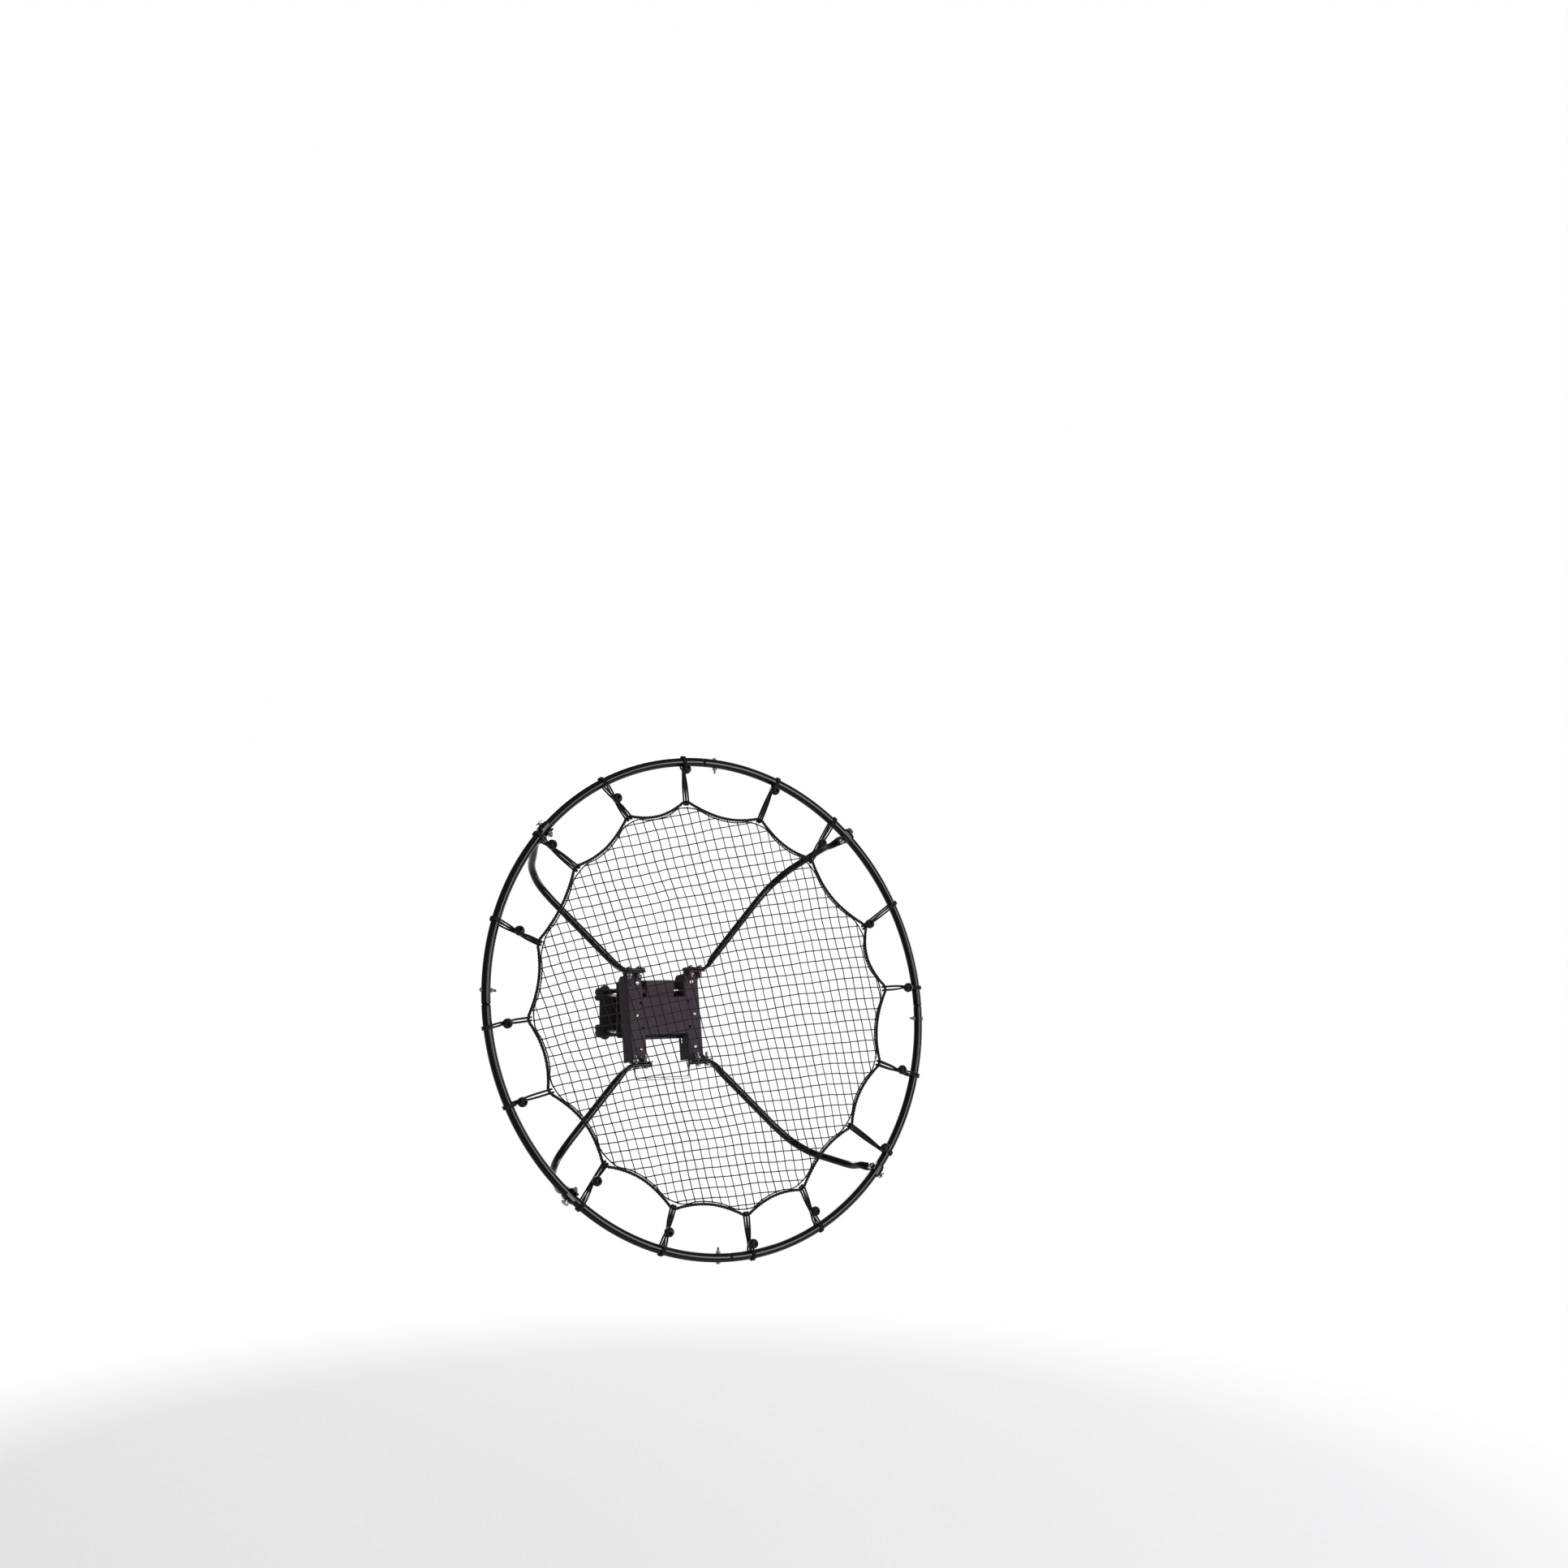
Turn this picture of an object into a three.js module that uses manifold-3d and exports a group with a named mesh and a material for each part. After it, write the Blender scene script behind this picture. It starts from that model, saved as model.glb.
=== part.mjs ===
// A passback rebounding net: a tube hoop strung with a mesh net on ball bungees, carried on four
// bent arms by a frame that tilts on a two-piece clamp with long bolts.
// Millimetres. X is to the right, Y back through the clamp, Z up. The origin is the middle of the
// clamp plate's rear face.
// Everything that tilts is drawn in the hoop's own axes: x to the right, y back, z up the hoop.

import * as THREE from "three";
import { mergeVertices } from "three/addons/utils/BufferGeometryUtils.js";
import Module from "manifold-3d";

const wasm = await Module();
wasm.setup();

// Fits and units
const degree = Math.PI / 180;
const fitGap = 0.3;
const runningGap = 0.5;
const cutOverrun = 5;
const weldDistance = 1e-4;
const axisX = new THREE.Vector3(1, 0, 0);
const axisY = new THREE.Vector3(0, 1, 0);
const axisZ = new THREE.Vector3(0, 0, 1);

// Clamp opening and tilt pivot
const clampOpening = 101.6;
const pivotForward = 41.3;
const pivotHeight = 49.4;
const pivotDiameter = 9.5;
const restTilt = 9 * degree;
const tiltPitch = 3 * degree;
const tiltNotches = 6;

// Hoop, its seams and its saddle pads
const hoopRadius = 624;
const hoopTube = 22.2;
const tubeWall = 1.6;
const pivotBehindHoop = 292;
const pivotAboveCentre = 72;
const segmentAngle = 90 * degree;
const hoopStepsPerSegment = 16;
const seamLead = 1.8 * degree;
const seamBoltInset = 3 * degree;
const seamBoltDiameter = 6.35;
const seamBoltTail = 9;
const saddleLength = 24;
const saddleRise = 5.5;
const saddleFootLength = 36;
const saddleFootRise = 2.8;
const saddleCheek = 1.9;
const saddleTop = 13;
const saddleShoulder = 8;

// Arms
const armAngle = 45 * degree;
const armTube = 19;
const armWall = 1.5;
const armDepth = 260;
const armBendRadiusShares = [0.965, 0.961, 0.915, 0.878, 0.838, 0.782, 0.705];
const armBendDepthShares = [0.192, 0.346, 0.588, 0.769, 0.877, 0.962, 0.996];
const paddleWidth = 26;
const paddleThickness = 3.8;
const paddleEnd = 13;
const paddleLength = 20;
const armBoltDiameter = 8;
const armBoltTail = 4;
const knobDiameter = 20;
const knobNeck = 10;
const knobStand = 7;
const knobRim = 2.5;
const knobHeight = 4;
const knobCrown = 14;
const stubThickness = 9.4;
const stubWidth = 25;
const stubAhead = 10;
const stubPastRail = 0.5;
const stubEndInset = 4;
const stubBendLength = 20;
const stubTaperLength = 45;

// Bungees, border rope and net
const cordDiameter = 4.5;
const cordPair = 9.5;
const ballDiameter = 25;
const ropeDiameter = 8.5;
const selvedgeDiameter = 4;
const netCord = 2.2;
const netPitch = 82;
const netRowTilt = 7 * degree;
const netColumnLean = 13 * degree;
const netWave = 7;
const netWaveLength = 620;
const ropePeakShare = 0.04;
const ropeSpanShares = [0.04, 0.2, 0.4, 0.6, 0.8, 0.96];
const selvedgeShares = [0.2, 0.4, 0.6, 0.8];

// One row for each bungee, anticlockwise from the right as seen from the front: the angle in
// degrees where it grips the hoop and the angle of the rope's peak that it pulls, then, as shares
// of the hoop's radius, how far out its ball, that peak and the rope's next dip lie.
const bungees = [
  { grip: 2.8, peak: 3.5, ballShare: 0.944, pullShare: 0.846, dipShare: 0.782 },
  { grip: 24.2, peak: 22.5, ballShare: 0.840, pullShare: 0.832, dipShare: 0.750 },
  { grip: 50, peak: 49.4, ballShare: 0.878, pullShare: 0.798, dipShare: 0.768 },
  { grip: 68, peak: 69.9, ballShare: 0.957, pullShare: 0.822, dipShare: 0.776 },
  { grip: 93.8, peak: 94.6, ballShare: 0.966, pullShare: 0.840, dipShare: 0.795 },
  { grip: 116, peak: 113.8, ballShare: 0.921, pullShare: 0.838, dipShare: 0.776 },
  { grip: 137.4, peak: 136.5, ballShare: 0.942, pullShare: 0.811, dipShare: 0.772 },
  { grip: 159.6, peak: 161.2, ballShare: 0.905, pullShare: 0.814, dipShare: 0.785 },
  { grip: 183.3, peak: 182.2, ballShare: 0.928, pullShare: 0.835, dipShare: 0.790 },
  { grip: 200.9, peak: 202, ballShare: 0.952, pullShare: 0.829, dipShare: 0.761 },
  { grip: 228.2, peak: 227.4, ballShare: 0.891, pullShare: 0.821, dipShare: 0.774 },
  { grip: 250.6, peak: 251.2, ballShare: 0.929, pullShare: 0.838, dipShare: 0.793 },
  { grip: 274.1, peak: 274.2, ballShare: 0.958, pullShare: 0.849, dipShare: 0.801 },
  { grip: 293.6, peak: 293.8, ballShare: 0.931, pullShare: 0.833, dipShare: 0.763 },
  { grip: 320.4, peak: 319.1, ballShare: 0.971, pullShare: 0.798, dipShare: 0.763 },
  { grip: 341.1, peak: 341, ballShare: 0.923, pullShare: 0.822, dipShare: 0.785 },
];

// Tilting frame: two channel rails and a cross plate
const railFrontAhead = 27;
const railInner = 62.5;
const railWidth = 44;
const railDepth = 50;
const railHalfHeight = 113;
const railWall = 3;
const railBend = 2;
const railTopChamfer = 12;
const crossTop = 53;
const crossBottom = 45;
const crossHole = 8;
const crossHoleInset = 8;
const crossHoleBelowTop = 14;
const crossHoleAboveBottom = 18;

// Arm brackets
const bracketWall = 3;
const bracketFlangeDepth = 27;
const bracketEndInset = 2;
const bracketFootWidth = 24;
const bracketFootBelowBolt = 9;
const bracketBoltInset = 18.5;
const upperBoltInset = 22;
const lowerBoltInset = 9;
const studInnerInset = 16;
const studOuterInset = 12;
const studAhead = 6;
const studTail = 5;
const studTurn = 30 * degree;
const bracketBoltTail = 4;

// Release bail, latch rod, guides and springs
const bailInset = 18.5;
const bailWire = 8;
const bailBehindPivot = 11;
const bailDrop = 158;
const bailCornerRadius = 13;
const bailCornerSteps = 4;
const rodBelowPivot = 122.5;
const rodDiameter = 8;
const rodPastBail = 11;
const rodCollarDiameter = 11;
const rodCollarWidth = 3;
const bailEyeDiameter = 15;
const bailEyeWidth = 7;
const releaseTravel = 12;
const guideAboveBolt = 23;
const guideEyeDiameter = 15;
const guideEyeHeight = 5;
const guideShank = 6;
const anchorPastBail = 5;
const anchorHeight = 6;
const anchorPastRod = 6;
const anchorCollarDiameter = 9;
const anchorCollarWidth = 3;
const springDiameter = 9;
const springWire = 1.4;
const springHook = 9;

// Clamp
const plateThickness = 5;
const plateHalfWidth = 105;
const plateHalfHeight = 74;
const plateCorner = 8;
const clampBoltX = 77;
const upperClampBoltZ = 36;
const lowerClampBoltZ = -61;
const clampBoltDiameter = 9.5;
const clampBoltTail = 12;
const jawThickness = 5;
const jawDepth = 22;
const jawSeatHalfWidth = 50;
const jawHalfWidth = 91;
const jawTop = 51;
const jawBottom = 77;
const earRadius = 21;
const earOut = 7;
const earRise = 2;

// Tilt block: a box between two toothed cheeks
const cheekInner = 34;
const cheekThickness = 8;
const blockDepth = 44.7;
const blockTop = 77;
const blockBottom = 60;
const cheekNose = 22.6;
const cheekDrop = 22;
const toothDepth = 1.9;
const toothRootShare = 0.2;
const cheekHeel = 3 * degree;
const shoulderDiameter = 14;

// Fastener proportions, as shares of a bolt's diameter
const hexShare = 1.6;
const headShare = 0.65;
const nutShare = 0.85;

// Facets
const hoopSides = 8;
const hexSides = 6;
const boltSides = 6;
const pinSides = 8;
const armSides = 8;
const ropeSides = 5;
const selvedgeSides = 5;
const cordSides = 4;
const cordTurnSteps = 4;
const ballSides = 8;
const ballRows = 4;
const springWireSides = 4;
const springLoopSteps = 10;
const earSides = 12;

// Derived places
const rodRadius = rodDiameter / 2;
const railFront = pivotBehindHoop - railFrontAhead;
const railBack = railFront + railDepth;
const stubDepth = railFront - stubAhead;
const studDepth = stubDepth - studAhead;
const railOuter = railInner + railWidth;
const bailDepth = pivotBehindHoop + bailBehindPivot;
const rodHeight = pivotAboveCentre - rodBelowPivot;
const tipRadius = Math.hypot(rodBelowPivot, bailBehindPivot) - rodRadius - runningGap;
const bore = hoopTube / 2 - tubeWall;
const tongue = bore - fitGap;
const saddleHeight = hoopTube / 2 + saddleRise;
const saddleFootHeight = hoopTube / 2 + saddleFootRise;
const flangeInner = railHalfHeight + bracketWall;
const flangeOuter = flangeInner + bracketWall;
const stubHeight = flangeOuter + fitGap + stubThickness / 2;
const stubInnerEnd = railInner - stubPastRail;
const stubOuterEnd = stubHeight - stubEndInset;
const bracketOuter = stubOuterEnd - bracketEndInset;
const bracketBoltX = railInner + bracketBoltInset;
const upperBoltHeight = railHalfHeight - upperBoltInset;
const lowerBoltHeight = railHalfHeight - lowerBoltInset;
const studInnerX = stubInnerEnd + studInnerInset;
const studOuterX = bracketOuter - studOuterInset;
const bailHalfWidth = railInner + bailInset;
const rodHalfLength = bailHalfWidth + rodPastBail;
const anchorX = bailHalfWidth + anchorPastBail;
const guideDrop = lowerBoltHeight - guideAboveBolt;
const crossHoleUp = crossTop - crossHoleBelowTop;
const crossHoleDown = crossBottom - crossHoleAboveBottom;
const springLoopRadius = rodRadius + runningGap + springWire / 2;
const hoopStep = segmentAngle / hoopStepsPerSegment;
const armBoltRadius = chordRadius(seamLead + armAngle);
const seamBoltRadius = chordRadius(seamBoltInset);
const pivotPlace = new THREE.Vector3(0, pivotBehindHoop, pivotAboveCentre);
const latchPlace = new THREE.Vector3(0, bailDepth, rodHeight);

// Finishes
const gloss = finish(0x17151a, 0.3, 0.2);
const powder = finish(0x2b272e, 0.55, 0.2);
const zinc = finish(0xc9c6bd, 0.35, 0.9);
const chrome = finish(0xd9d3cb, 0.15, 1);
const elastic = finish(0x1b1614, 0.85, 0);
const twine = finish(0x1a1716, 0.8, 0);

function finish(color, roughness, metalness) {
  return { color, roughness, metalness };
}

// The hoop is drawn in straight steps: the radius of its centreline at an angle from a seam.
function chordRadius(fromSeam) {
  const offMiddle = (fromSeam % hoopStep) - hoopStep / 2;
  return (hoopRadius * Math.cos(hoopStep / 2)) / Math.cos(offMiddle);
}

// Solids: every shape is a closed geometry, and joins and cuts go through manifold solids.
function toSolid(geometry) {
  const bare = new THREE.BufferGeometry();
  const source = geometry.index ? geometry.toNonIndexed() : geometry;
  bare.setAttribute("position", source.getAttribute("position").clone());
  const merged = mergeVertices(bare, weldDistance);
  const index = merged.index.array;
  const kept = [];
  for (let i = 0; i < index.length; i += 3) {
    const [a, b, c] = index.slice(i, i + 3);
    if (a !== b && b !== c && c !== a) {
      kept.push(a, b, c);
    }
  }
  const vertProperties = merged.getAttribute("position").array;
  return new wasm.Manifold(new wasm.Mesh({ numProp: 3, vertProperties, triVerts: new Uint32Array(kept) }));
}

function toGeometry(solid) {
  const made = solid.getMesh();
  const geometry = new THREE.BufferGeometry();
  geometry.setAttribute("position", new THREE.BufferAttribute(new Float32Array(made.vertProperties), 3));
  geometry.setIndex(new THREE.BufferAttribute(new Uint32Array(made.triVerts), 1));
  return geometry;
}

function join(...pieces) {
  return toGeometry(pieces.map(toSolid).reduce((all, next) => all.add(next)));
}

function cut(body, ...tools) {
  return toGeometry(tools.map(toSolid).reduce((rest, tool) => rest.subtract(tool), toSolid(body)));
}

function overlap(one, other) {
  return toGeometry(toSolid(one).intersect(toSolid(other)));
}

// The corners of a flat polygon whose sides, not its corners, face along the axes.
function polygon(radius, sides) {
  return Array.from({ length: sides }, (_, i) => {
    const angle = ((i + 0.5) * 2 * Math.PI) / sides;
    return new THREE.Vector2(radius * Math.cos(angle), radius * Math.sin(angle));
  });
}

// The corner radius of a polygon whose sides are at the given distance from its middle.
function aroundFlats(radius, sides) {
  return radius / Math.cos(Math.PI / sides);
}

// A prism along +Z from 0 to the given length, over a flat outline.
function prism(outline, length) {
  return new THREE.ExtrudeGeometry(new THREE.Shape(outline), { depth: length, bevelEnabled: false });
}

// A plate that stands up, its outline in x and z and its thickness along +y.
function upright(outline, thickness) {
  const turn = new THREE.Matrix4().makeBasis(axisX, axisZ, axisY.clone().negate());
  return prism(outline, thickness).applyMatrix4(turn).translate(0, thickness, 0);
}

// A plate seen from the side, its outline in y and z and its thickness along +x.
function sideways(outline, thickness) {
  return prism(outline, thickness).applyMatrix4(new THREE.Matrix4().makeBasis(axisY, axisZ, axisX));
}

function points(...pairs) {
  return pairs.map(([x, y]) => new THREE.Vector2(x, y));
}

function box(x0, x1, y0, y1, z0, z1) {
  const geometry = new THREE.BoxGeometry(x1 - x0, y1 - y0, z1 - z0);
  return geometry.translate((x0 + x1) / 2, (y0 + y1) / 2, (z0 + z1) / 2);
}

// A turned piece along Z, from a profile of radius and height pairs.
function turned(profile, sides) {
  return new THREE.LatheGeometry(points(...profile), sides).rotateX(Math.PI / 2);
}

function rod(radius, from, to, sides) {
  return turned([[0, from], [radius, from], [radius, to], [0, to]], sides);
}

// Turns a piece made along +Z to point another way, then moves it to its place.
function aimed(geometry, place, direction) {
  const turn = new THREE.Quaternion().setFromUnitVectors(axisZ, direction);
  return geometry.clone().applyQuaternion(turn).translate(place.x, place.y, place.z);
}

// A cutting rod for a bolt hole, centred on its place.
function drill(place, direction, diameter, reach) {
  const radius = aroundFlats(diameter / 2 + fitGap, boltSides);
  return aimed(rod(radius, -reach, reach, boltSides), place, direction);
}

function polar(radius, angle, back = 0) {
  return new THREE.Vector3(radius * Math.cos(angle), back, radius * Math.sin(angle));
}

// A closed skin over rings of points, with flat ends unless it runs back into its start.
function skin(rings, joined = false) {
  const count = rings[0].length;
  const faces = [];
  const spans = joined ? rings.length : rings.length - 1;
  for (let i = 0; i < spans; i++) {
    const here = i * count;
    const next = ((i + 1) % rings.length) * count;
    for (let j = 0; j < count; j++) {
      const k = (j + 1) % count;
      faces.push(here + j, here + k, next + k, here + j, next + k, next + j);
    }
  }
  const end = (rings.length - 1) * count;
  for (let j = 1; j < count - 1 && !joined; j++) {
    faces.push(0, j + 1, j, end, end + j, end + j + 1);
  }
  const corners = new Float32Array(rings.flat().flatMap((corner) => corner.toArray()));
  const geometry = new THREE.BufferGeometry();
  geometry.setAttribute("position", new THREE.BufferAttribute(corners, 3));
  geometry.setIndex(faces);
  return geometry;
}

// One ring of a tube: half sizes along its side direction and square to it.
function ring(place, along, side, halfSide, halfOther, sides) {
  const other = new THREE.Vector3().crossVectors(along, side).normalize();
  const across = new THREE.Vector3().crossVectors(other, along).normalize();
  return polygon(aroundFlats(1, sides), sides).map((corner) =>
    place.clone().addScaledVector(across, corner.x * halfSide).addScaledVector(other, corner.y * halfOther),
  );
}

// The direction of travel at each point of a route.
function headings(route, joined = false) {
  const last = route.length - 1;
  return route.map((_, i) => {
    const before = joined ? route.at(i - 1) : route[Math.max(i - 1, 0)];
    const after = joined ? route[(i + 1) % route.length] : route[Math.min(i + 1, last)];
    return after.clone().sub(before).normalize();
  });
}

// A round cord along a closed route in the hoop's plane.
function closedCord(route, diameter, sides) {
  const along = headings(route, true);
  const radius = (diameter / 2) * Math.cos(Math.PI / sides);
  return skin(route.map((place, i) => ring(place, along[i], axisY, radius, radius, sides)), true);
}

// Fasteners stand along +Z with the head's seat at 0 and the nut below it.
function hexHead(diameter) {
  const radius = aroundFlats((diameter * hexShare) / 2, hexSides);
  return rod(radius, 0, diameter * headShare, hexSides);
}

// The arm bolts end outside in a flat knob that stands off its seat on a neck.
function knobHead() {
  const radius = knobDiameter / 2;
  const top = knobStand + knobHeight;
  const profile = [
    [0, 0],
    [knobNeck / 2, 0],
    [knobNeck / 2, knobStand],
    [radius, knobStand],
    [radius, knobStand + knobRim],
    [knobCrown / 2, top],
    [0, top],
  ];
  return turned(profile, pinSides);
}

function boltWithNut(diameter, grip, tail, head) {
  const nutHeight = diameter * nutShare;
  const nutRadius = aroundFlats((diameter * hexShare) / 2, hexSides);
  const shank = rod(diameter / 2, -(grip + nutHeight + tail), (diameter * headShare) / 2, boltSides);
  return join(head, shank, rod(nutRadius, -(grip + nutHeight), -grip, hexSides));
}

// The exported model: a fixed group and a tilting group, which is drawn round the hoop's middle.
const model = new THREE.Group();
const tilting = new THREE.Group();
tilting.position.set(0, -pivotForward, pivotHeight);
tilting.rotation.x = -restTilt;
const aroundHoop = new THREE.Group();
aroundHoop.position.set(0, -pivotBehindHoop, -pivotAboveCentre);
tilting.add(aroundHoop);
model.add(tilting);

function add(group, name, geometry, look) {
  const material = new THREE.MeshStandardMaterial(look);
  const mesh = new THREE.Mesh(geometry, material);
  mesh.name = name;
  group.add(mesh);
  return mesh;
}

// Hoop: four tube segments, each with a swaged tongue that slides into the one before.
class HoopArc extends THREE.Curve {
  constructor(from, to) {
    super();
    this.from = from;
    this.to = to;
  }

  getPoint(share, target = new THREE.Vector3()) {
    return target.copy(polar(hoopRadius, THREE.MathUtils.lerp(this.from, this.to, share)));
  }
}

function hoopRun(radius, sides, from, to, steps) {
  const section = new THREE.Shape(polygon(radius, sides));
  const options = { extrudePath: new HoopArc(from, to), steps, bevelEnabled: false };
  return new THREE.ExtrudeGeometry(section, options);
}

// A saddle pad is a block with a lower foot at each end.
function saddlePad(angle) {
  const half = hoopTube / 2 + saddleCheek;
  const outward = polar(1, angle);
  const turn = new THREE.Matrix4().makeBasis(axisY, outward, axisY.clone().cross(outward));
  const middle = polar(armBoltRadius, angle);
  const block = (height, length) => {
    const side = points(
      [-half, 0],
      [half, 0],
      [half, saddleShoulder],
      [saddleTop / 2, height],
      [-saddleTop / 2, height],
      [-half, saddleShoulder],
    );
    return prism(side, length)
      .translate(0, 0, -length / 2)
      .applyMatrix4(turn)
      .translate(middle.x, middle.y, middle.z);
  };
  return join(block(saddleHeight, saddleLength), block(saddleFootHeight, saddleFootLength));
}

function hoopSegment(start) {
  const end = start + segmentAngle;
  const seamGap = fitGap / 2 / hoopRadius;
  const boltMiddle = start + seamLead + armAngle;
  const tube = hoopRun(hoopTube / 2, hoopSides, start + seamGap, end - seamGap, hoopStepsPerSegment);
  const plug = hoopRun(tongue, hoopSides, start - hoopStep, start + hoopStep, 2);
  const wide = aroundFlats(bore, hoopSides);
  const narrow = tongue - tubeWall;
  const boreReach = 1.5 * hoopStep;
  const holes = [
    [boltMiddle, armBoltDiameter],
    [end - seamBoltInset, seamBoltDiameter],
    [start - seamBoltInset, seamBoltDiameter],
  ];
  return cut(
    join(tube, plug, saddlePad(boltMiddle)),
    hoopRun(wide, hoopSides, start + hoopStep, end + hoopStep, hoopStepsPerSegment),
    hoopRun(narrow, hoopSides, start - boreReach, start + boreReach, 3),
    ...holes.map(([angle, diameter]) =>
      drill(polar(hoopRadius, angle), polar(1, angle), diameter, saddleHeight + cutOverrun),
    ),
  );
}

const seamGrip = hoopTube + 2 * fitGap;
const armBoltGrip = saddleHeight + hoopTube / 2 + paddleThickness + 3 * fitGap;

for (let k = 0; k < 4; k++) {
  const start = k * segmentAngle - seamLead;
  add(aroundHoop, `hoop_segment_${k + 1}`, hoopSegment(start), gloss);

  const seamAngle = start - seamBoltInset;
  const seamBolt = boltWithNut(seamBoltDiameter, seamGrip, seamBoltTail, hexHead(seamBoltDiameter));
  const seamSeat = polar(seamBoltRadius + hoopTube / 2 + fitGap, seamAngle);
  add(aroundHoop, `seam_bolt_${k + 1}`, aimed(seamBolt, seamSeat, polar(1, seamAngle)), zinc);

  const armBoltAngle = start + seamLead + armAngle;
  const armBolt = boltWithNut(armBoltDiameter, armBoltGrip, armBoltTail, knobHead());
  const armSeat = polar(armBoltRadius + saddleHeight + fitGap, armBoltAngle);
  add(aroundHoop, `arm_bolt_${k + 1}`, aimed(armBolt, armSeat, polar(1, armBoltAngle)), zinc);
}

// Arms: a bent tube, flattened to a paddle on the hoop and to a stub in its bracket. This one is
// the upper right arm, and the others mirror it.
function armStations() {
  const half = armTube / 2;
  const paddleRadius = armBoltRadius - hoopTube / 2 - fitGap - paddleThickness / 2;
  const flat = { turn: armAngle, side: paddleWidth / 2, other: paddleThickness / 2 };
  const round = { turn: armAngle, side: half, other: half };
  const stub = { turn: 0, side: stubThickness / 2, other: stubWidth / 2 };
  const bendStart = (stubHeight + stubBendLength / 2) / Math.sin(armAngle);
  const taperStart = bendStart + stubTaperLength;
  return [
    { ...flat, place: polar(paddleRadius, armAngle, -paddleEnd) },
    { ...flat, place: polar(paddleRadius, armAngle, paddleLength) },
    ...armBendRadiusShares.map((share, i) => {
      const place = polar(share * hoopRadius, armAngle, armBendDepthShares[i] * armDepth);
      return { ...round, place };
    }),
    { ...round, place: polar(taperStart, armAngle, armDepth) },
    { ...round, place: polar(bendStart, armAngle, (armDepth + stubDepth) / 2) },
    { ...stub, place: new THREE.Vector3(stubOuterEnd, stubDepth, stubHeight) },
    { ...stub, place: new THREE.Vector3(stubInnerEnd, stubDepth, stubHeight) },
  ];
}

function armSkin(shrink, overrun) {
  const stations = armStations();
  const along = headings(stations.map((station) => station.place));
  along[0] = axisY.clone();
  along[1] = axisY.clone();
  const last = stations.length - 1;
  along[last] = axisX.clone().negate();
  along[last - 1] = axisX.clone().negate();
  stations[0].place.addScaledVector(along[0], -overrun);
  stations[last].place.addScaledVector(along[last], overrun);
  const rings = stations.map(({ place, turn, side, other }, i) => {
    const across = new THREE.Vector3(-Math.sin(turn), 0, Math.cos(turn));
    return ring(place, along[i], across, side - shrink, other - shrink, armSides);
  });
  return skin(rings);
}

const armReach = hoopTube + cutOverrun;
const arm = cut(
  armSkin(0, 0),
  armSkin(armWall, cutOverrun),
  drill(polar(hoopRadius, armAngle), polar(1, armAngle), armBoltDiameter, armReach),
  drill(new THREE.Vector3(studInnerX, studDepth, stubHeight), axisZ, armBoltDiameter, stubThickness),
  drill(new THREE.Vector3(studOuterX, studDepth, stubHeight), axisZ, armBoltDiameter, stubThickness),
);

// Arm brackets: an angle on the rail's face, its flange under the arm's stub, with two studs.
function armBracket(boltHeight) {
  const back = railFront - fitGap;
  const front = back - bracketWall;
  const foot = boltHeight - bracketFootBelowBolt;
  const leg = upright(
    points(
      [bracketBoltX - bracketFootWidth / 2, foot],
      [bracketBoltX + bracketFootWidth / 2, foot],
      [bracketOuter, flangeInner],
      [bracketOuter, flangeOuter],
      [stubInnerEnd, flangeOuter],
      [stubInnerEnd, flangeInner],
    ),
    bracketWall,
  ).translate(0, front, 0);
  const flange = box(stubInnerEnd, bracketOuter, back - bracketFlangeDepth, back, flangeInner, flangeOuter);
  const drilled = cut(
    join(leg, flange),
    drill(new THREE.Vector3(bracketBoltX, front, boltHeight), axisY, armBoltDiameter, bracketWall * 2),
  );
  const seat = stubHeight + stubThickness / 2 + fitGap;
  const grip = seat - flangeInner;
  const stud = boltWithNut(armBoltDiameter, grip, studTail, hexHead(armBoltDiameter)).rotateZ(studTurn);
  return join(
    drilled,
    stud.clone().translate(studInnerX, studDepth, seat),
    stud.clone().translate(studOuterX, studDepth, seat),
  );
}

const quarters = [
  { right: 1, up: 1, boltHeight: upperBoltHeight },
  { right: -1, up: 1, boltHeight: upperBoltHeight },
  { right: -1, up: -1, boltHeight: lowerBoltHeight },
  { right: 1, up: -1, boltHeight: lowerBoltHeight },
];
const bracketGrip = bracketWall + railWall + 3 * fitGap;

quarters.forEach(({ right, up, boltHeight }, i) => {
  add(aroundHoop, `arm_${i + 1}`, arm, gloss).scale.set(right, 1, up);
  add(aroundHoop, `arm_bracket_${i + 1}`, armBracket(boltHeight), powder).scale.set(right, 1, up);
  const bolt = boltWithNut(armBoltDiameter, bracketGrip, bracketBoltTail, hexHead(armBoltDiameter));
  const seatDepth = railFront - bracketWall - 2 * fitGap;
  const seat = new THREE.Vector3(right * bracketBoltX, seatDepth, up * boltHeight);
  add(aroundHoop, `bracket_bolt_${i + 1}`, aimed(bolt, seat, axisY.clone().negate()), zinc);
});

// Border rope: it runs from peak to peak and dips between them, with a short flat at each peak.
function ropePoint(i, share, inset = 0) {
  const here = bungees[i];
  const next = bungees[(i + 1) % bungees.length];
  const wrap = i + 1 === bungees.length ? 360 : 0;
  const angle = THREE.MathUtils.lerp(here.peak, next.peak + wrap, share) * degree;
  const straight = THREE.MathUtils.lerp(here.pullShare, next.pullShare, share);
  const sag = (here.pullShare + next.pullShare) / 2 - here.dipShare;
  const radius = hoopRadius * (straight - 4 * sag * share * (1 - share));
  return polar(radius - inset, angle);
}

const ropeRoute = bungees.flatMap((_, i) => ropeSpanShares.map((share) => ropePoint(i, share)));
add(aroundHoop, "border_rope", closedCord(ropeRoute, ropeDiameter, ropeSides), twine);

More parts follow.
